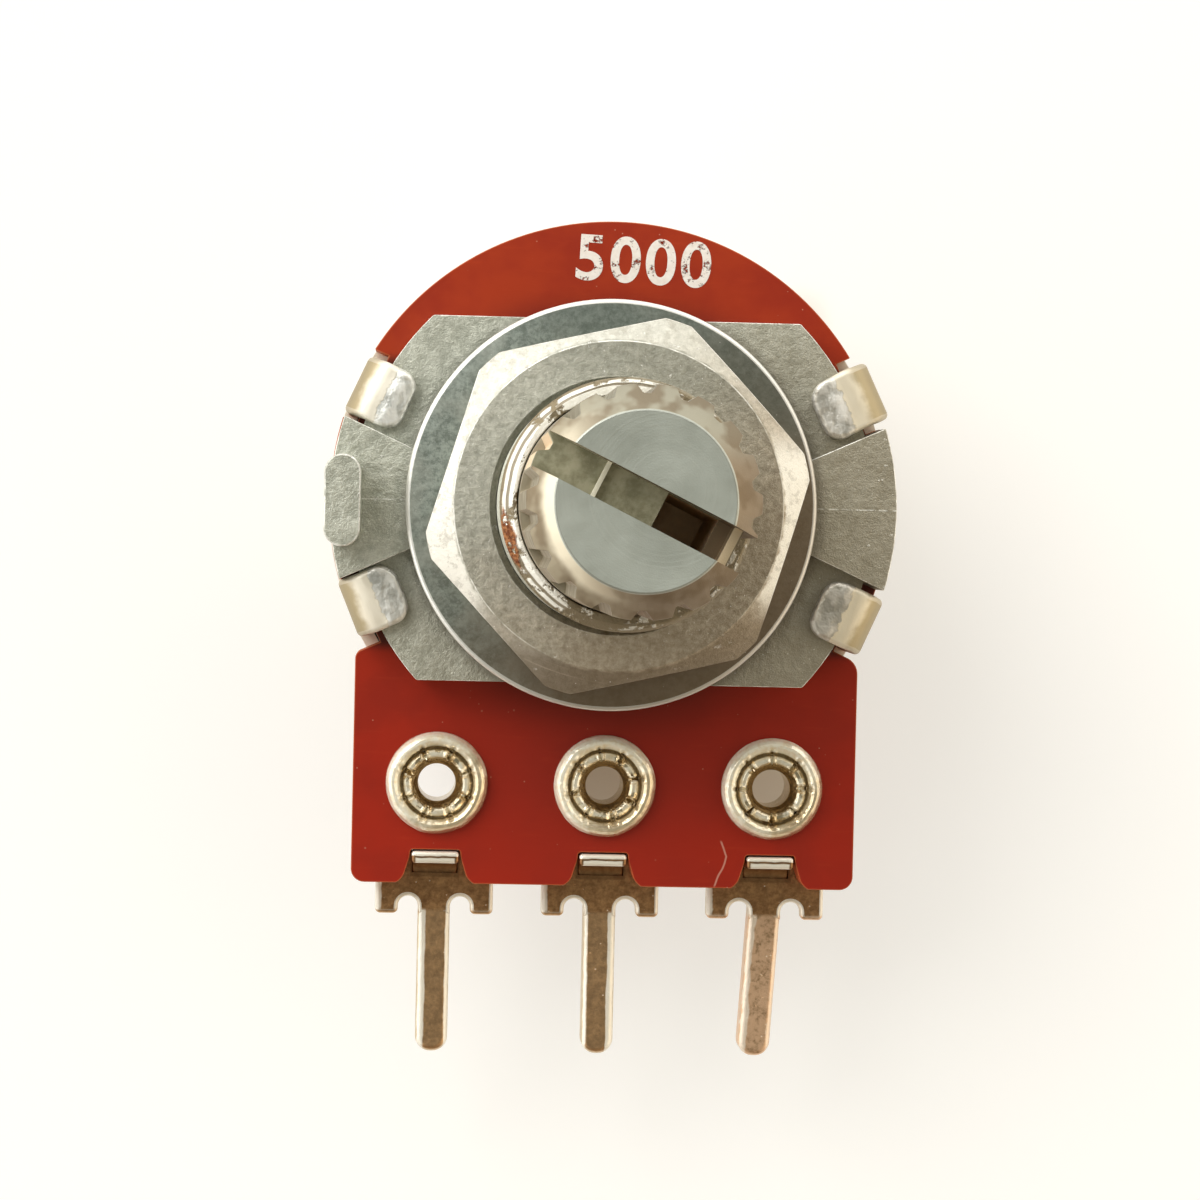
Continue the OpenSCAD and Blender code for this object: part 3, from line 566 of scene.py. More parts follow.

# %% [markdown]
# The plating is tin: pale, a little warm, cloudy on the flats, with the steel's
# drawing lines running around the cup and small scratches from handling. Where
# the claws bend, a cream painted highlight stands for the light that the bend
# catches, and its outer side gets a tan painted reflection. The dented flats
# show a pale painted sheen on their facets, and the lower right is painted
# darker and warmer as painted shade.

# %% Plated steel
tin = Finish("plated_steel")
cloud = tin.noise(1.6, 4)
fine = tin.noise(14, 3)
facet = tin.noise(1.9, 3, 0.5)
ragged = tin.radius() + (tin.noise(4.2, 3) - 0.5) * 0.34
bend = ragged.rise(7.42, 7.49) * tin.z.rise(7.2, 8.0)
# painted reflection: the outer side of each bend is painted tan
outer = (tin.radius() + (cloud - 0.5) * 0.4).rise(7.85, 8.15)
flat = tin.z.rise(8.3, 8.6)
hammered = flat * (1 - bend)
draw_lines = tin.noise(5, 3, 0.6, (0.15, 0.15, 6))
tin.colour = tin.mix(cloud, (0.42, 0.36, 0.26), (0.62, 0.54, 0.40))
# painted sheen: pale patches on the dented facets of the claws' flats
pale = facet.rise(0.46, 0.60)
grey = tin.mix(cloud.rise(0.35, 0.65), (0.62, 0.63, 0.60), (0.84, 0.84, 0.80))
grey = tin.mix(pale, grey, (0.97, 0.97, 0.94))
# painted shade: film marks the lower right, away from the light, where flats and bends are painted darker
# and warmer
film = tin.shade_side(9)
grey = tin.mix(film * 0.6, grey, (0.42, 0.36, 0.28))
streaks = tin.noise(2.2, 4, 0.7, (1, 0.35, 1), 35).rise(0.50, 0.60)
grey = tin.mix(streaks * (0.75 - film * 0.6), grey, (1.0, 1.0, 0.97))
tin.paint(hammered, grey)
# painted highlight: the bend of each claw is painted cream
bend_highlight = tin.mix(cloud, (0.80, 0.74, 0.62), (0.94, 0.90, 0.80))
bend_highlight = tin.mix(film * 0.6, bend_highlight, (0.80, 0.68, 0.46))
tin.paint(bend, tin.mix(outer, bend_highlight, (0.42, 0.345, 0.215)))
tin.paint(tin.worn() * 0.25, (0.85, 0.81, 0.73))
rim = abs(tin.z - BOARD_LOW).fall(0.03, 0.07) * tin.radius().rise(7.7, 7.8)
tin.paint(rim * 0.9, (0.95, 0.88, 0.74))
nicks = tin.scratches(2.2, 35) * cloud.rise(0.45, 0.7)
tin.paint(nicks * 0.5, (0.30, 0.25, 0.18))
dull = bend * (1 - outer * 0.6) * 0.55 + rim * 0.6 + hammered * (0.22 + pale * 0.2 + streaks * 0.2)
tin.wear(Metallic=1 - dull, Roughness=0.28 + cloud * 0.22 + fine * 0.06 + bend * 0.08)
dented = facet * flat * tin.radius().fall(7.2, 7.6)
tin.relief(fine * 0.003 + draw_lines * 0.006 + dented * 0.12 + cloud * bend * 0.01)

# %% [markdown]
# A tongue is cut out of the flat wall and folded inwards, where it stops the
# rotor at both ends of its turn. Its window is left open, and above it the wall
# is lower, so that the printed leads can pass under the board.

# %% Cover assembled
STOP_Z = 2.65
window = block((-1.4, -CUP_FLAT - 1, STOP_Z - 1), (1.4, -CUP_FLAT + SHEET + 0.05, STOP_Z))
slit = block((-20, -20, BOARD_LOW - 0.8), (20, -CUP_FLAT + SHEET + 0.05, 20))
tongue = block((-1.2, -CUP_FLAT, STOP_Z), (1.2, -5.2, STOP_Z + SHEET))
pierced = softened(carve(cup_blank, cut=[window, slit], add=[tongue]), 0.06, 2, 60)
finish_piece("rear_cover_cup", carve(pierced, add=claws), tin, "rear_cover")

# %% [markdown]
# ## The board
# The board is punched from red-brown paper phenolic. An outline of a few
# corners is rounded, extruded and joined to a disc, and the notches for the
# claws and the pins are cut out of it. Punching leaves a soft edge in front.

# %% Flat plates
def mirrored(points):
    """Half an outline, followed by its mirror image on the other side of the Y axis."""
    return points + [(-p[0], *p[1:]) for p in reversed(points)]


def plate(points, low, high):
    """Extrude a flat outline of (x, y) or (x, y, corner radius) points."""
    bm = bmesh.new()
    corners = [bm.verts.new((p[0], p[1], low)) for p in points]
    bm.faces.new(corners)
    radii = {v: p[2] for v, p in zip(corners, points) if len(p) > 2}
    for radius in sorted(set(radii.values())):
        rounded(bm, [v for v, r in radii.items() if r == radius and v.is_valid], radius, 8, "VERTICES")
    extruded(bm, bm.faces[:], (0, 0, high - low))
    return to_mesh(bm)


# %% Board
TAB_X, TAB_Y = 7.5, EYELET_Y - 3
CLAW_Y = CUP_R * sin(CLAW_TURN)
HOLE_R = 0.78
low, high = BOARD_LOW, BOARD_TOP
tab = plate(mirrored([(-TAB_X, 0), (-TAB_X, TAB_Y, 0.4)]), low, high)
tab = carve(tab, cut=[block((x - 1.5, -CLAW_Y, low - 1), (x + 1.5, 1, high + 1)) for x in (-7.2, 7.2)])
notch = plate(mirrored([(-1.6, TAB_Y - 0.1), (-1.0, TAB_Y, 0.3), (-0.75, TAB_Y + 0.8, 0.1),
                        (-0.75, TAB_Y + 1, 0.15)]), low - 1, high + 1)
hole = disc(HOLE_R, low - 1, high + 1, at=(0, EYELET_Y), sides=48)
pin_cuts = [moved(cut, x=i * PITCH) for cut in (notch, hole) for i in (-1, 0, 1)]
# the upper claws have a wider pocket on their upper side
pockets = [moved(block((CLAW_X - SHEET - 0.05, -1 - left, low - 1), (CUP_R + 1, 1 + right, high + 1)),
                 turn=angle)
           for angle, left, right in ((CLAW_ANGLE, 0, 0.3), (-CLAW_ANGLE, 0, 0),
                                      (180 + CLAW_ANGLE, 0, 0), (180 - CLAW_ANGLE, 0.2, 0))]
board = carve(disc(CUP_R - 0.05, low, high, at=(0, 0.15), sides=192), add=[tab],
              cut=[disc(2.7, low - 1, high + 1)] + pin_cuts + pockets)
for side, radius in ((1, 0.32), (-1, 0.15)):
    board = softened(board, radius, 5, 15, lambda c: abs(c.z - (low + high) / 2) < 0.01
                     and side * c.x > TAB_X - 0.2 and -6 < c.y < -4.2)
board = softened(board, 0.06, 2, 40)

# %% [markdown]
# Paper phenolic is a deep red-brown with a satin surface. It has faint fibres in
# one direction, fine scratches and pale dust. Beside the metal, in the gaps by
# the claws, in the middle of the tab and on the lower right it is painted
# darker as painted shade. Its cut edge is lighter and more orange, because the
# paper shows.

# %% Phenolic
resin = Finish("phenolic")
blotch = resin.noise(0.55, 3)
fibre = resin.noise(5, 4, 0.6, (0.12, 1, 1), 8)
resin.colour = resin.mix(resin.y.rise(-9, 6), (0.370, 0.018, 0.005), (0.360, 0.033, 0.007))
resin.paint(blotch.rise(0.35, 0.7) * 0.6, (0.250, 0.013, 0.004))
# painted shade: the middle of the tab, below the washer and nut, is painted darker
middle = (resin.radius(0, -7.2) + (blotch - 0.5) * 3).fall(1.5, 5.5)
resin.paint(middle * 0.4, (0.17, 0.010, 0.004))
resin.paint(fibre.rise(0.55, 0.8) * 0.25, (0.48, 0.050, 0.012))
# painted shade: the lower right of the board is painted darker
resin.paint(resin.shade_side() * 0.35, (0.26, 0.014, 0.004))
# painted shade: the board around the plate is painted dark
shade_around_plate = (resin.radius() + blotch * 0.8).fall(5.9, 7.6) * resin.y.fall(5.6, 6.8) * resin.y.rise(-8.0, -6.6)
resin.paint(shade_around_plate * 0.75, (0.13, 0.010, 0.004))
# painted shadow: the board in the narrow gaps between the claws and the sectors is painted nearly black
gap_shadow = resin.radius().rise(7.0, 7.2) * abs(resin.y).fall(4.1, 4.5)
resin.paint(gap_shadow * resin.x.rise(-8.1, -7.9) * 0.85, (0.05, 0.012, 0.006))
cut_edge = (BOARD_TOP - 0.03 - resin.z).rise(0, 0.05)
resin.paint(cut_edge * 0.45, (0.52, 0.14, 0.035))
resin.paint(resin.worn() * 0.35, (0.68, 0.20, 0.06))
hair = (resin.scratches(0.5, 62, 0.020, 40) + resin.scratches(0.9, -28, 0.016, 24)) \
    * resin.noise(0.7, 3).rise(0.42, 0.55)
dust = resin.specks(2.3, 0.06) + resin.specks(0.9, 0.035, 4)
lint = abs(resin.x - (3.69 - abs(resin.y + 10.35) * 0.38) + (resin.noise(1.5, 1) - 0.5) * 0.15)
lint = lint.fall(0.015, 0.045) * resin.y.rise(-11.3, -11.2) * resin.y.fall(-9.95, -9.85)
resin.paint(hair * 0.18, (0.62, 0.20, 0.12))
resin.paint(dust * blotch.rise(0.4, 0.6) * 0.4, (0.72, 0.42, 0.30))
resin.paint(lint * 0.45, (0.75, 0.45, 0.35))
resin.wear(Roughness=0.36 + blotch * 0.12 + hair * 0.15 + cut_edge * 0.2, Specular_IOR_Level=0.3)
resin.relief(fibre * 0.004 + hair * -0.004 + resin.noise(11, 2) * 0.002)
finish_piece("phenolic_board", board, resin, "element_board")

# %% [markdown]
# ## The die-cast plate
# Zinc is cast around the bushing: a low disc with two flats, two raised sectors
# that point at the claws, a small lug that keeps the part from turning in its
# panel, and the bushing itself. Each form is a blank with its own soft edges,
# and the union keeps the crisp inner corners that a die leaves.

# %% Plate levels
def band(inner, outer, low, high, rounding=0, steps=128):
    """A ring with a rectangular section."""
    return turned([(inner, low), (outer, low), (outer, high), (inner, high)], rounding, steps)


SECTOR_R = 8.3
low, recess = BOARD_TOP, RECESS
base = turned([(4.3, low), (7.7, low), (7.7, recess), (3.2, recess), (3.2, 7.9), (4.3, 7.9)])
base = carve(base, keep=[block((-9, -5.2, 0), (9, 5.5, 20))])
base = softened(base, 0.40, 6, 25, lambda c: abs(c.z - (low + recess) / 2) < 0.01 and c.xy.length > 7)
base = softened(base, 0.13, 3, 40, lambda c: c.z > recess - 0.01 and c.xy.length > 5 and abs(c.y) > 4.3)
APEX_X, APEX_Y = 1.1 / sin(CLAW_TURN), 0.1 / cos(CLAW_TURN)
REACH = tan(CLAW_TURN) * (12 - APEX_X)
sectors = []
for side in (1, -1):
    wedge = plate([(side * APEX_X, APEX_Y), (side * 12, APEX_Y + REACH), (side * 12, APEX_Y - REACH)],
                  low, 20)
    raised = carve(band(3.2, SECTOR_R, recess - 0.5, WASHER_LOW),
                   add=[band(7.4, SECTOR_R, low, recess)], keep=[wedge])
    sectors.append(softened(raised, 0.09, 3, 30, lambda c: c.xy.length > 4.2 and c.z > low + 0.1))
boss = band(3.2, 4.7, recess - 0.5, WASHER_LOW)
lug = plate([(x, y, 0.52) for x, y in ((-8.42, -1.325), (-7.37, -1.325), (-7.37, 1.325), (-8.42, 1.325))],
            low, WASHER_LOW + 2)
lug = softened(lug, 0.05, 2, 60, lambda c: c.z > 8)
print("levels of the plate ready")

# %% [markdown]
# The bushing carries a thread of 7 mm with a pitch of 0.75 mm. A thread is the
# one place for a spin that also climbs: the V of the cutting tool turns around
# the axis and rises by one pitch with each turn, and the swept V is cut away.

# %% Threaded bushing
THREAD = 0.75


def swept_cutter(low, high):
    """The V of a thread, swept up around the axis."""
    bm = bmesh.new()
    corners = [(BUSHING_R - 0.36, -0.05), (BUSHING_R + 0.06, -0.34),
               (BUSHING_R + 0.06, 0.34), (BUSHING_R - 0.36, 0.05)]
    face = bm.faces.new([bm.verts.new((x, 0, low + z)) for x, z in corners])
    turns = math.ceil((high - low) / THREAD)
    bmesh.ops.spin(bm, geom=[face], cent=(0, 0, 0), axis=(0, 0, 1), dvec=(0, 0, THREAD / 48),
                   angle=math.tau * turns, steps=48 * turns, use_merge=False)
    return to_mesh(bm)


bushing = turned([(3.03, 7.9), (BUSHING_R, 7.9), (BUSHING_R, MOUTH - 0.18), (BUSHING_R - 0.12, MOUTH),
                  (3.03, MOUTH)], 0.05, round_where=lambda c: c.z > MOUTH - 0.5)
bushing = carve(bushing, cut=[swept_cutter(WASHER_LOW + 0.6, MOUTH + 0.2)])
casting = carve(base, add=sectors + [boss, lug, bushing])
print("casting", len(casting.polygons), "faces")

# %% [markdown]
# Cast zinc is a dull grey with a fine grain of bright specks. The recess is a
# touch greener and its lower right is painted warmer as painted shade, a ring
# of painted shadow lies around the washer, one line was scribed across it,
# edges are rubbed bright and partly painted as highlight, and a spot of rust
# has grown at the mouth of the bushing.

# %% Cast zinc
zinc = Finish("cast_zinc")
grain = zinc.noise(18, 3, 0.7)
blotch = zinc.noise(2.4, 6, 0.72)
cloud = zinc.noise(0.8, 3)
zinc.colour = zinc.mix(blotch.rise(0.35, 0.65), (0.44, 0.45, 0.385), (0.65, 0.66, 0.58))
zinc.paint(grain.rise(0.4, 0.7) * 0.4, (0.28, 0.285, 0.235))
zinc.paint(cloud.rise(0.45, 0.7) * 0.25, (0.74, 0.75, 0.67))
# painted shade: the lower right of the plate is painted warmer and darker
zinc.paint(zinc.shade_side() * 0.7, (0.325, 0.275, 0.20))
flecks = zinc.specks(5, 0.10) * cloud.rise(0.42, 0.6) + zinc.scratches(1.3, 70, 0.022, 9)
chips = zinc.noise(3.4, 4, 0.7).rise(0.66, 0.70) * zinc.radius().rise(6.6, 7.2)
below_washer = zinc.z.fall(9.2, 9.6)
scribed = abs(zinc.y - 0.07).fall(0.01, 0.03) * zinc.noise(3, 2).rise(0.35, 0.5) * below_washer
bright = flecks * 0.7 + chips * 0.6 + scribed * 0.6
# rubbed edges painted bright, partly a painted highlight along the bevels
rubbed_and_lit_edges = zinc.worn() * (0.35 + 0.6 * zinc.noise(1.6, 3).rise(0.40, 0.52))
zinc.paint(bright, (0.93, 0.93, 0.88))
zinc.paint(rubbed_and_lit_edges, (0.93, 0.92, 0.87))
# painted shadow: a dark ring at and around the washer's edge
zinc.paint(zinc.radius().fall(5.95, 6.35) * below_washer * 0.5, (0.14, 0.12, 0.09))
mouth = zinc.z.rise(15.2, 15.6)
ring = zinc.radius() + (zinc.noise(1.2, 2) - 0.5) * 0.08
seam = abs(ring - 3.295).fall(0.02, 0.05)
shaded = (zinc.x - zinc.y * 0.4).rise(-1.5, 1.0)
crust = (zinc.noise(1.8, 4, 0.65) + shaded * 0.12).rise(0.52, 0.60)
crust = crust + (1 - crust) * seam * 0.9
glint = mouth * (1 - crust) * ring.fall(3.41, 3.45) * (1 - shaded * 0.5)
zinc.paint(mouth, (0.25, 0.205, 0.135))
zinc.paint(glint, (0.97, 0.95, 0.88))
along = abs(zinc.x * 0.292 - zinc.y * 0.956) + (zinc.noise(4, 3) - 0.5) * 0.5
rust = (along * 0.27 + abs(zinc.radius() - 3.40)).fall(0.20, 0.28) * zinc.x.fall(-1, 0) \
    * mouth * zinc.noise(7, 2).rise(0.34, 0.42)
zinc.paint(rust, zinc.mix(zinc.noise(9, 3).rise(0.4, 0.6), (0.20, 0.055, 0.015), (0.46, 0.19, 0.07)))
zinc.wear(Metallic=1 - rust * 0.9 - bright * 0.3 - glint * (1 - rust) * 0.6,
          Roughness=0.38 + blotch * 0.14 + grain * 0.12 - bright * 0.1 + rust * 0.3)
zinc.relief(grain * 0.014 + blotch * 0.06 + chips * 0.03 - mouth * crust * 0.03
            + rust * zinc.noise(14, 3) * 0.06)
finish_piece("die_cast_plate", casting, zinc, "bushing_plate")

# %% [markdown]
# ## Washer and nut
# The washer is punched from zinc-plated sheet, so its upper edge is drawn
# round and polished: from above that is one thin bright ring. Turning a small
# rounded outline gives exactly that edge, and its rounded faces are painted
# near white, rubbed and partly a painted highlight, weaker on the shaded side.

# %% Washer
ring = moved(band(3.63, 6.0, WASHER_LOW, WASHER_TOP, 0.13, 160), x=-0.10, y=0.04)

zinc = Finish("zinc_washer")
cloud = zinc.noise(0.8, 4)
pits = zinc.noise(5, 6, 0.75)
zinc.colour = zinc.mix(pits.rise(0.35, 0.65), (0.24, 0.275, 0.245), (0.46, 0.51, 0.465))
zinc.paint(cloud.rise(0.4, 0.7) * 0.5, (0.58, 0.59, 0.53))
# painted shade: film marks the lower right of the washer, painted darker and warmer; the rounded edge is
# painted near white, worn and partly a painted highlight, weaker in that shade
film, rubbed_and_lit_edges = zinc.shade_side(4), zinc.worn()
zinc.paint(film * 0.85, (0.25, 0.17, 0.105))
zinc.paint(rubbed_and_lit_edges * (0.95 - film * 0.45), (0.97, 0.96, 0.92))
# painted shade: the upper side of the washer is painted darker
upper_side_shade = (zinc.y + zinc.x * 0.4).rise(3.2, 5.0) * (1 - rubbed_and_lit_edges)
zinc.paint(upper_side_shade * 0.45, (0.13, 0.155, 0.135))
nicks = (zinc.scratches(1.6, 20, 0.02, 8) + zinc.specks(4, 0.07)) * cloud.rise(0.48, 0.6)
zinc.paint(nicks * 0.6, (0.9, 0.9, 0.86))
zinc.wear(Metallic=1 - rubbed_and_lit_edges * 0.35, Roughness=0.34 + pits * 0.16 - rubbed_and_lit_edges * 0.08)
zinc.relief(pits * 0.010 + nicks * -0.01)
finish_piece("flat_washer", ring, zinc, "panel_washer")

# %% [markdown]
# The nut is a hexagon whose corners are turned down to a cone on both faces.
# A hexagonal blank trimmed by a turned blank gives the curved bevels that a
# real nut shows, and its bore has a small countersink.

# %% Nut
NUT_CORNER, NUT_TRIM, NUT_BEVEL = 5 / cos(radians(30)), 5.56, 1.06
NUT_FACE = NUT_CORNER - NUT_BEVEL
low, high, drop = WASHER_TOP, NUT_TOP, NUT_BEVEL * tan(radians(30)) * 0.8
hexagon = moved(disc(NUT_CORNER, low, high, sides=6), turn=13.0 - 30)
cone = turned([(0, low), (NUT_FACE, low), (NUT_TRIM, low + drop), (NUT_TRIM, high - drop),
               (NUT_FACE, high), (0, high)], steps=192)
bore = turned([(0, low - 1), (3.7, low - 1), (3.7, low), (3.52, low + 0.18),
               (3.52, high - 0.18), (3.7, high), (3.7, high + 1), (0, high + 1)])
corners = sorted(round(degrees(atan2(v.co.y, v.co.x)) % 60, 1) for v in hexagon.vertices)
print("nut corners at", sorted(set(corners)), "degrees")
hexagon = softened(hexagon, 0.35, 4, 50, lambda c: abs(c.z - (low + high) / 2) < 0.1, worn=0)
nut = softened(carve(hexagon, cut=[bore], keep=[cone]), 0.05, 2, 22)

zinc = Finish("zinc_nut")
cloud = zinc.noise(0.9, 4)
pits = zinc.noise(4, 7, 0.78)
soft = pits.rise(0.25, 0.75)
zinc.colour = zinc.mix(soft, (0.36, 0.355, 0.30), (0.72, 0.71, 0.63))
cone_face = (zinc.radius() + (zinc.noise(3, 3) - 0.5) * 0.22).rise(NUT_FACE, NUT_FACE + 0.08)
zinc.paint(cone_face * 0.8, zinc.mix(soft, (0.50, 0.49, 0.43), (0.74, 0.73, 0.67)))
# painted shade: film marks the lower right of the nut, painted darker and warmer
film = zinc.shade_side(4)
zinc.paint(film * 0.8, zinc.mix(soft, (0.24, 0.18, 0.115), (0.52, 0.43, 0.32)))
# painted shade: the lower side of the nut, mostly its bevel, is painted dark
lower_side_shade = (zinc.x * 0.2 - zinc.y).rise(3.0, 4.2)
zinc.paint(lower_side_shade * (0.1 + cone_face * 0.5), (0.17, 0.13, 0.085))
# painted shade: the upper side of the nut's face is painted darker
upper_side_shade = (zinc.y + zinc.x * 0.3).rise(2.6, 4.4) * (1 - cone_face)
zinc.paint(upper_side_shade * 0.4, (0.19, 0.20, 0.165))
# painted highlight: pale patches on the left and right bevels
bevel_highlight = (abs(zinc.x) + (zinc.noise(2, 3) - 0.5)).rise(3.5, 4.4) * (1 - lower_side_shade) * cone_face \
    * zinc.y.fall(1.2, 2.6)
zinc.paint(bevel_highlight * 0.9, (0.97, 0.94, 0.86))
nicks = (zinc.scratches(1.2, 8, 0.022, 12) + zinc.scratches(1.7, 75, 0.018, 8)) * cloud.rise(0.40, 0.55)
dents = zinc.noise(3.2, 5, 0.75).rise(0.635, 0.67) * (1 - film * 0.6)
flecks = zinc.specks(4.5, 0.09, 3) * zinc.noise(1.2, 2).rise(0.42, 0.55)
zinc.paint((nicks + flecks + dents) * 0.65, (0.97, 0.96, 0.92))
swirls = zinc.noise(6, 3, 0.6, at=zinc.radius(0.6, 2.5)).rise(0.60, 0.66) * cloud.rise(0.35, 0.6) * lower_side_shade
zinc.paint(swirls * 0.35, (0.62, 0.54, 0.43))
ragged = zinc.noise(2.6, 6, 0.75).rise(0.52, 0.60) * cone_face * (1 - lower_side_shade)
zinc.paint(ragged * 0.35, (0.34, 0.31, 0.25))
# rubbed edges painted bright, partly a painted highlight, left out on the shaded lower side
rubbed_and_lit_edges = zinc.worn() * (0.2 + 0.7 * zinc.noise(1.4, 3).rise(0.42, 0.55)) * (1 - lower_side_shade)
zinc.paint(rubbed_and_lit_edges * (1 - film * 0.5), (0.96, 0.94, 0.88))
zinc.wear(Metallic=1 - bevel_highlight * 0.5, Roughness=0.36 + pits * 0.22 - rubbed_and_lit_edges * 0.1)
zinc.relief(pits * 0.035 + nicks * -0.012 - dents * 0.02)
finish_piece("hexagon_nut", nut, zinc, "mounting_nut")

# %% [markdown]
# ## The shaft
# The shaft is turned from alloy bar. Its end is cut with 18 teeth for a push-on
# knob, beveled, and slotted: one half of the slot is deep and the other is
# filled nearly to the top, with a thin ridge across. It is turned whole, with
# the neck and the tail that lie inside the part, and the knurl is cut from it.

# %% Shaft
low = box_mm("retaining_ring")[0].z - 0.2
stem = turned([(0, low), (SHAFT_R, low), (SHAFT_R, low + 0.2), (2.5, low + 0.2), (2.5, low + 0.6),
               (SHAFT_R, low + 0.6), (SHAFT_R, TIP - 0.7), (SHAFT_R - 0.7, TIP), (0, TIP)], 0.03,
              round_where=lambda c: c.z > TIP - 1)
neck = disc(2.5, 4.5, low + 0.1)
tail = carve(disc(2.2, 1.7, 4.6), keep=[block((-3, -1.7, 0), (3, 1.7, 9))])
head = turned([(0, 0.5), (1, 0.5), (1, 1.7), (2.6, 1.7), (2.6, 2.2), (0, 2.2)], 0.08)
print("shaft solid from", round(box_mm("shaft")[0].z, 3), "to", round(TIP, 3))

TEETH = 18
step = radians(360 / TEETH)
wide, narrow = SHAFT_R * sin(step * 0.28), SHAFT_R * sin(step * 0.1)
groove = plate([(SHAFT_R - 0.26, -narrow, 0.03), (SHAFT_R + 0.26, -2 * wide + narrow),
                (SHAFT_R + 0.26, 2 * wide - narrow), (SHAFT_R - 0.26, narrow, 0.03)], TIP - 7, TIP + 1)
knurl = [moved(groove, turn=(i + 0.5) * 360 / TEETH) for i in range(TEETH)]

SLOT_TURN, SLOT_FLOOR, PLATEAU = 26.2, TIP - 6.9, TIP - 1.1
deep = carve(block((0.45, -0.5, SLOT_FLOOR), (4, 0.5, TIP + 1)),
             cut=[block((1.95, -1, 0), (2.34, 1, TIP - 1.9)), block((2.34, -1, 0), (2.6, 1, PLATEAU))])
shallow = carve(block((-4, -0.5, PLATEAU), (0.46, 0.5, TIP + 1)),
                cut=[block((-1.30, -1, 0), (-1.18, 1, TIP - 0.85))])
slot = [moved(half, turn=-SLOT_TURN) for half in (deep, shallow)]
shaft = softened(carve(stem, cut=knurl), 0.06, 3, 28, lambda c: c.z > TIP - 7.5 and c.xy.length > 2.4)
shaft = carve(shaft, add=[neck, tail, head], cut=slot)
shaft = softened(shaft, 0.03, 2, 60, lambda c: c.z > PLATEAU - 0.1 and c.xy.length < 2.4)

alloy = Finish("shaft_metal")
cloud = alloy.noise(0.8, 3)
arcs = alloy.noise(7, 2, 0.5, at=alloy.radius(0.5, 0.3))
end = alloy.z.rise(TIP - 0.05, TIP - 0.01)
alloy.colour = alloy.mix(cloud, (0.50, 0.53, 0.48), (0.66, 0.70, 0.65))
alloy.paint(arcs.rise(0.5, 0.75) * end * 0.2, (0.72, 0.74, 0.69))
# painted light and shade on the shaft's side: a cream painted reflection on the left of the chamfer, brown
# below and greyer above
lit_left_side = (alloy.x + alloy.y * 0.25).fall(-2.4, -0.4)
rim = (alloy.radius() + (cloud - 0.5) * 0.3).fall(2.50, 2.75)
side = alloy.mix(alloy.y.rise(0.8, 2.0), (0.26, 0.205, 0.145), (0.36, 0.34, 0.27))
side = alloy.mix(lit_left_side, side, alloy.mix(rim, (0.38, 0.33, 0.24), (0.84, 0.77, 0.61)))
brown = alloy.noise(1.3, 2).rise(0.42, 0.60) * (1 - end) * (1 - rim * lit_left_side)
alloy.paint(1 - end, side)
crown = alloy.z.rise(TIP - 1.4, TIP - 0.9)
alloy.paint(brown * (0.22 + crown * 0.38), (0.20, 0.145, 0.09))
# painted shade: the rounded edges of the end are painted darker, dimming their highlight
alloy.paint(alloy.worn() * end * 0.7, (0.36, 0.37, 0.33))
turn = radians(SLOT_TURN)
along = alloy.x * cos(turn) - alloy.y * sin(turn)
lane = abs(alloy.x * sin(turn) + alloy.y * cos(turn)).fall(0.500, 0.505) * along.fall(2.56, 2.59)
inside = lane * alloy.z.fall(PLATEAU + 0.3, PLATEAU + 0.32) * alloy.z.rise(SLOT_FLOOR - 0.1, SLOT_FLOOR)
# painted light: the deep half of the slot is painted pale peach, lifting its shade
pocket_painted_light = alloy.z.fall(PLATEAU - 0.9, PLATEAU - 0.4)
floor_tone = alloy.mix(alloy.noise(2.0, 4, 0.7).rise(0.3, 0.7), (0.26, 0.25, 0.16), (0.48, 0.46, 0.33))
alloy.paint(inside, alloy.mix(pocket_painted_light, floor_tone, (0.86, 0.68, 0.47)))
# painted highlight: the top of the thin ridge is painted pale
alloy.paint(inside * alloy.z.rise(PLATEAU + 0.2, PLATEAU + 0.24), (0.90, 0.87, 0.72))
# painted shade and light at the slot's far end: the ledge is painted dark as a shadowed notch, the blade
# beyond it tan as a lit end
ledge = inside * along.rise(1.93, 1.96) * alloy.z.rise(TIP - 2.0, TIP - 1.95)
lit_blade = ledge * along.rise(2.33, 2.35)
alloy.paint(ledge, alloy.mix(lit_blade, (0.26, 0.19, 0.12), (0.62, 0.50, 0.33)))
alloy.wear(Metallic=1 - rim * lit_left_side * (1 - end) * 0.3 - inside * 0.35,
           Roughness=0.42 + cloud * 0.12 + brown * 0.1)
alloy.relief(alloy.noise(22, 2) * 0.004 + arcs * end * 0.004 + alloy.noise(1.1, 2) * 0.02)
finish_piece("slotted_shaft", shaft, alloy, "shaft", body="rotor", crease=30)

# %% [markdown]
# ## The eyelets
# Three brass eyelets rivet the terminals to the board. A star-shaped punch
# splits and rolls each rim, which leaves a fat outer roll, a ring of eight
# petals and small ridges between them. The section is turned with a point
# every 2 degrees, and then the points beside each split are pushed.

# %% Eyelets
EYELET_R = 1.525


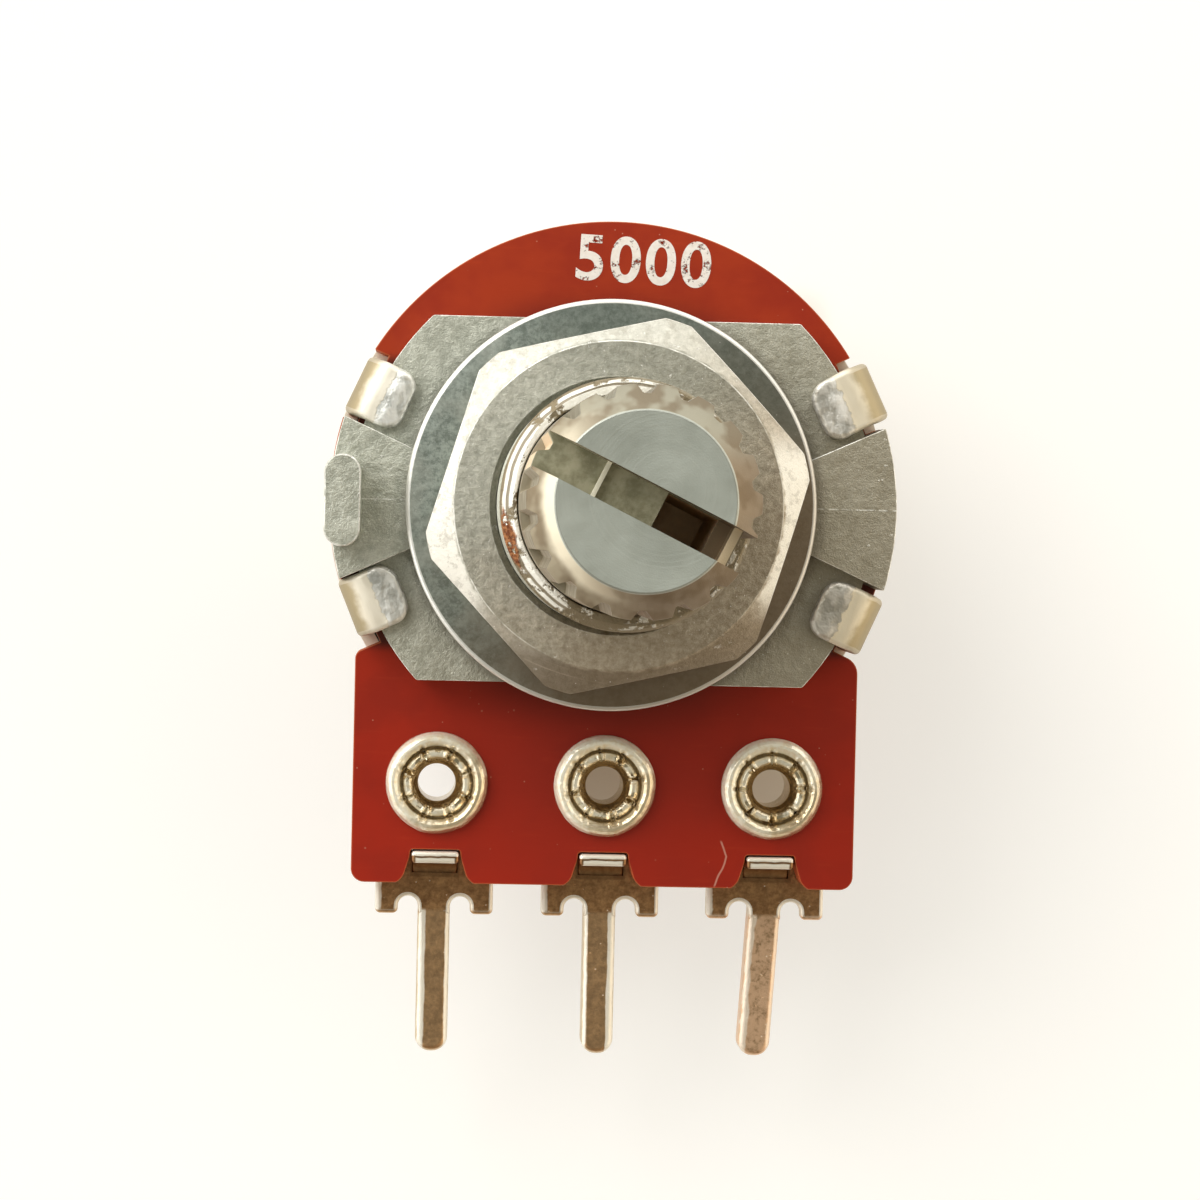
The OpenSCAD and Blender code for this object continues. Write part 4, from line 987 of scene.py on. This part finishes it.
def eyelet(seed):
    """A rolled rim with eight splits, its barrel, and the foot rolled over behind."""
    bm = opened(turned([(0.56, 5.1), (0.56, 6.85), (0.66, 7.00), (0.74, 7.16), (0.82, 7.23), (0.92, 7.23),
                        (0.99, 7.16), (1.04, 7.08), (1.09, 7.18), (1.16, 7.31), (1.25, 7.375),
                        (1.34, 7.36), (1.43, 7.27), (1.50, 7.14), (EYELET_R, 7.02), (1.50, BOARD_TOP),
                        (0.75, BOARD_TOP), (0.75, 5.35), (1.2, 5.35), (1.2, 5.1)], 0.02, 180))
    for v in bm.verts:
        r = v.co.xy.length
        if v.co.z < BOARD_TOP + 0.1 or r < 0.7:
            continue
        turn = degrees(atan2(v.co.y, v.co.x)) + 9 * wave(v.co.x * 0.8, v.co.y * 0.8, seed * 7)
        off = abs((turn - 23 + seed * 11 + 22.5) % 45 - 22.5)
        petal = max(0, min(1, (r - 0.72) / 0.08)) * max(0, min(1, (1.22 - r) / 0.10))
        v.co.z += petal * (0.07 * max(0, 1 - abs(off - 6) / 3.5) - 0.16 * max(0, 1 - off / 3.5))
        swell = 1 + 0.025 * wave(v.co.x * 1.3, v.co.y * 1.3, seed * 2.3)
        v.co.xy = v.co.xy * min(swell, EYELET_R / r)
        v.co.z += 0.03 * wave(v.co.x * 2.4, v.co.y * 2.4, seed * 4.1) - 0.01
        v.co.z = min(v.co.z, 7.39)
    return to_mesh(bm)


brass = Finish("eyelet_brass")
cloud = brass.noise(2.2, 3)
tarnish = brass.noise(6, 4, 0.65)
local_x = brass.x.folded(PITCH)
local_y = brass.y - EYELET_Y
spread = (local_x * local_x + local_y * local_y) ** 0.5
lit = (local_y * 0.7 - local_x * 0.7 + (cloud - 0.5) * 2.4).rise(-1.1, -0.1)
brass.colour = brass.mix(cloud, (0.60, 0.47, 0.29), (0.86, 0.78, 0.60))
brass.paint(tarnish.rise(0.5, 0.7) * 0.6, (0.33, 0.21, 0.10))
roll = spread.rise(1.08, 1.13) * brass.z.rise(6.95, 7.15)
petals = spread.rise(0.76, 0.80) * spread.fall(0.96, 1.0) * cloud.rise(0.4, 0.5)
pale = brass.mix(tarnish.rise(0.4, 0.7), (1.0, 0.96, 0.82), (0.90, 0.78, 0.56))
brass.paint(roll * 0.7, (0.80, 0.66, 0.44))
brass.paint(roll * lit * 0.95 + petals * 0.8, pale)
funnel = (spread + (tarnish - 0.5) * 0.1).fall(0.70, 0.76)
brass.paint(funnel * brass.z.rise(6.2, 6.7) * 0.6, (0.40, 0.28, 0.15))
trough = abs(spread - 1.04).fall(0.02, 0.06)
brass.paint(trough * 0.45, (0.26, 0.17, 0.08))
brass.wear(Metallic=1 - roll * (0.30 + lit * 0.35) - petals * 0.5, Roughness=0.16 + tarnish * 0.12)
brass.relief(tarnish * 0.010 + cloud * 0.05)
for i, side in enumerate(("left", "center", "right")):
    finish_piece(f"{side}_rolled_eyelet", moved(eyelet(i), x=(i - 1) * PITCH, y=EYELET_Y), brass,
                 f"{side}_eyelet", crease=40)

# %% [markdown]
# ## The terminals
# Each terminal is stamped from brass sheet with a thin coat of tin: a ring
# under the eyelet, a strip, a bar with two feet, a tongue that bends forward
# through the board's notch, and a pin folded to a channel. The flat part is a
# plate with cuts, the tongue a spun bend, and the pin a block with round folds.

# %% Terminal
TERM_TOP = BOARD_LOW - 0.05
TERM_LOW = TERM_TOP - 0.4
FEET_Y = TAB_Y - 1.05
PIN_Y, PIN_W = FEET_Y - 4.15, 0.97
CUT_R = (1.085 - PIN_W / 2) / 2
TONGUE_Y = TAB_Y + 1 - 0.05


def terminal(bend=0):
    """One terminal; the right one's pin has been bent sideways."""
    bar_y, arch_y, pin_x = TAB_Y + 0.1, FEET_Y + 0.23, PIN_W / 2
    flat = plate(mirrored([(-1.3, EYELET_Y), (-1.3, bar_y), (-1.775, bar_y), (-1.775, FEET_Y, 0.16),
                           (-1.085, FEET_Y, 0.16), (-1.085, arch_y), (-pin_x, arch_y),
                           (-pin_x, FEET_Y)]), TERM_LOW, TERM_TOP)
    arches = [disc(CUT_R, TERM_LOW - 1, TERM_TOP + 1, at=(side * (pin_x + CUT_R), arch_y), sides=32)
              for side in (-1, 1)]
    lance = block((-0.69, TONGUE_Y - 0.75, 0), (0.69, EYELET_Y - 1.65, 9))
    flat = carve(flat, add=[disc(1.55, TERM_LOW, TERM_TOP, at=(0, EYELET_Y), sides=96)],
                 cut=arches + [lance, disc(HOLE_R, 0, 9, at=(0, EYELET_Y), sides=48)])
    flat = softened(flat, 0.12, 4, 40, lambda c: c.y < bar_y - 0.02 and c.z > TERM_TOP - 0.01, loose=True)
    bm = bmesh.new()
    bmesh.ops.create_grid(bm, x_segments=1, y_segments=1, size=0.5,
                          matrix=Matrix.Translation((0, TONGUE_Y - 0.85, TERM_LOW + 0.175))
                          @ Matrix.Rotation(math.pi / 2, 4, "X") @ Matrix.Diagonal((1.4, 0.35, 1, 1)))
    front = pulled(bm, bm.faces[:], (0, 0.1, 0), start=True)
    front = swung(bm, front, (0, TONGUE_Y - 0.75, TERM_LOW + 0.75), (1, 0, 0), 10)
    pulled(bm, front, (0, 0, BOARD_TOP + 0.12 - TERM_LOW - 0.75))
    tongue = softened(to_mesh(bm, merge=1e-4), 0.13, 5, 50, worn=0)
    pin = plate(mirrored([(-pin_x, FEET_Y + 0.35), (-pin_x, PIN_Y, 0.45)]), TERM_TOP - 0.8, TERM_TOP)
    channel = block((-0.2, PIN_Y - 1, TERM_TOP - 1), (0.2, FEET_Y + 1, TERM_TOP - 0.24))
    pin = softened(pin, 0.2, 5, 60, lambda c: c.z > TERM_TOP - 0.1 and c.y < FEET_Y + 0.3)
    pin = softened(carve(pin, cut=[channel]), 0.05, 2, 60, lambda c: c.z < TERM_TOP - 0.7)
    pin = moved(pin, turn=bend, pivot=(0, FEET_Y + 0.25, 0))
    return carve(flat, add=[tongue, pin])


# %% [markdown]
# The tin is thin. On the folds and the cut edges it is rubbed bright, and a
# painted highlight adds to it: wider on the left fold of each pin, on the left
# edge of each flat and on the top of each tongue. On the flats the warm brass
# shows through, dark with flux and finger marks. The front of the right pin is
# scraped pale where it was bent.

# %% Tinned brass
LEAN = 3.4
tinned = Finish("tinned_brass")
cloud = tinned.noise(1.8, 4)
stain = tinned.noise(6, 4, 0.65)
right = tinned.x.rise(2.4, 2.6)
below = tinned.y.math("MINIMUM", FEET_Y + 0.25) - FEET_Y - 0.25
across = tinned.x.folded(PITCH) - below * right * tan(radians(LEAN))
across = across + (tinned.noise(1.6, 3) - 0.5) * (0.10 + right * 0.14)
flat_face = tinned.z.rise(TERM_TOP - 0.10, TERM_TOP - 0.03)
tinned.colour = tinned.mix(cloud, (0.56, 0.44, 0.28), (0.78, 0.68, 0.52))
bare = tinned.mix(stain.rise(0.25, 0.80), (0.30, 0.14, 0.055), (0.62, 0.34, 0.15))
on_pin = tinned.y.fall(FEET_Y + 0.05, FEET_Y + 0.2)
bare = tinned.mix(on_pin * 0.28, bare, (0.92, 0.66, 0.40))
neck = abs(across).fall(0.72, 0.76) * tinned.y.rise(TONGUE_Y - 0.9, TONGUE_Y - 0.85)
tinned.paint(flat_face * 0.95 + neck * (1 - flat_face), bare)
tinned.paint(neck * 0.5, (0.20, 0.11, 0.05))
middle = abs(tinned.x).fall(2.4, 2.5)
shifted = across + middle * 0.10
# painted highlight along the pin's folds, wide on the left and thin on the right, partly rubbed tin
lit_fold_bands = shifted.fall(-0.27, -0.22) * across.rise(-0.46, -0.43) \
    + shifted.rise(0.33, 0.37) * (1 - right * 0.4) * across.fall(0.45, 0.47)
scraped = right * on_pin * stain.rise(0.22, 0.55)
tinned.paint(scraped * 0.9, (0.80, 0.53, 0.34))
# rubbed edges, with a painted highlight along the left edge of each flat
rubbed_and_lit_rims = tinned.worn() + across.fall(-1.62, -1.56) * flat_face
back = tinned.y - TONGUE_Y + (cloud - 0.5) * 0.08
# painted highlight: the top end of the tongue and a strip across its bend
lit_bend_strip = abs(back + 0.28).fall(0.07, 0.11) * abs(across).fall(0.56, 0.62)
crown = tinned.z.rise(BOARD_TOP - 0.1, BOARD_TOP - 0.02) * (back.rise(-0.15, -0.11) + lit_bend_strip)
# rubbed tin and painted highlight, both painted pale
rubbed_and_highlit = lit_fold_bands * on_pin * (1 - right * 0.35) + rubbed_and_lit_rims * (1 - on_pin) * 0.9 + crown
tinned.paint(rubbed_and_highlit, tinned.mix(cloud, (0.88, 0.80, 0.66), (0.95, 0.92, 0.84)))
nicks = tinned.scratches(1.8, 5, 0.022, 9) + tinned.specks(4, 0.11)
tinned.paint(nicks * cloud.rise(0.42, 0.52) * 0.6, (0.90, 0.82, 0.68))
tinned.wear(Metallic=1 - rubbed_and_highlit * 0.6 - scraped * (1 - rubbed_and_highlit) * 0.3, Roughness=0.28 + stain * 0.2)
tinned.relief(stain * 0.016 + cloud * 0.02 - nicks * 0.006)
for i, (side, bend) in enumerate((("left", 0), ("center", 0), ("right", -LEAN))):
    finish_piece(f"{side}_stamped_terminal", moved(terminal(bend), x=(i - 1) * PITCH), tinned,
                 f"{side}_terminal")

# %% [markdown]
# ## The printed number
# The resistance in ohms is stamped on the board in white ink with a worn
# rubber stamp. Text becomes a mesh first and is then laid on the board, because
# a pattern on a text object would move with it. The ink is thin and patchy.

# %% Number
writing = bpy.data.curves.new("number", "FONT")
writing.body = "5000"
writing.size, writing.extrude, writing.offset = 1.88, 0.004, 0.035
writing.align_x = writing.align_y = "CENTER"
writing.space_character = 1.12
text = placed("number", writing)
ink_mesh = bpy.data.meshes.new_from_object(text.evaluated_get(bpy.context.evaluated_depsgraph_get()))
bpy.data.objects.remove(text)
ink_mesh.transform(Matrix.Translation((0.80, 7.27, BOARD_TOP + 0.004))
                   @ Matrix.Rotation(radians(-2.5), 4, "Z"))
print("ink reaches", round(max((v.co.xy - Vector((0, 0.15))).length for v in ink_mesh.vertices), 2), "mm")

ink = Finish("white_ink")
ink.slot = "phenolic"
ink.colour = ink.mix(ink.noise(6, 3), (0.72, 0.62, 0.55), (0.92, 0.90, 0.87))
ink.wear(Roughness=0.7, Alpha=ink.noise(3.5, 4, 0.7).rise(0.36, 0.46))
finish_piece("stamped_number", ink_mesh, ink, "element_board")

# %% [markdown]
# ## Inside the cover
# The rest of the part lies inside: the printed tracks behind the board, the
# black carrier with its bronze brush, the thrust washer and the open ring on
# the shaft. Their solids have the right shape, so they only get a finish each.

# %% Inner finishes
def inner_finish(slot, dark, pale, metallic, roughness, scale, nodes):
    """A two-tone grain with a fine relief, given to solids that keep their shape."""
    finish = Finish(slot)
    grain, cloud = finish.noise(scale, 4, 0.65), finish.noise(scale / 8, 2)
    finish.colour = finish.mix(grain * 0.6 + cloud * 0.4, dark, pale)
    finish.wear(Metallic=metallic, Roughness=roughness + grain * 0.12)
    finish.relief(grain * 0.006)
    for node in nodes:
        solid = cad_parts[node]
        solid.data.materials.clear()
        solid.data.materials.append(finish.material)
    return finish


inner_finish("carbon_film", (0.012, 0.011, 0.010), (0.045, 0.040, 0.036), 0, 0.55, 12, ["carbon_track"])
inner_finish("silver_film", (0.42, 0.42, 0.40), (0.72, 0.72, 0.69), 0.8, 0.42, 14,
             ["collector_track", "left_end_contact", "right_end_contact"])
inner_finish("carrier_plastic", (0.012, 0.012, 0.012), (0.035, 0.033, 0.031), 0, 0.42, 9, ["wiper_carrier"])
inner_finish("spring_bronze", (0.42, 0.20, 0.08), (0.72, 0.42, 0.20), 1, 0.28, 10, ["wiper_brush"])
inner_finish("thrust_steel", (0.30, 0.30, 0.28), (0.55, 0.54, 0.50), 1, 0.32, 11, ["thrust_washer"])
inner_finish("ring_steel", (0.14, 0.13, 0.12), (0.34, 0.32, 0.30), 1, 0.36, 11, ["retaining_ring"])

# %% [markdown]
# The detent spring is a bowed leaf on the floor of the cup. When the shaft
# leaves the centre, the carrier presses the leaf down. A copy of its solid is
# made a piece of its own, with a mesh of its own.

# %% Detent spring
steel = inner_finish("spring_steel", (0.26, 0.26, 0.25), (0.52, 0.52, 0.50), 1, 0.30, 11, ["detent_spring"])
leaf_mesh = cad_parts["detent_spring"].data.copy()
leaf_mesh.transform(Matrix.Scale(1000, 4))
leaf_mesh = to_mesh(opened(leaf_mesh), merge=1e-4)
leaf = finish_piece("detent_leaf", leaf_mesh, steel, "detent_spring")
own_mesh(leaf)
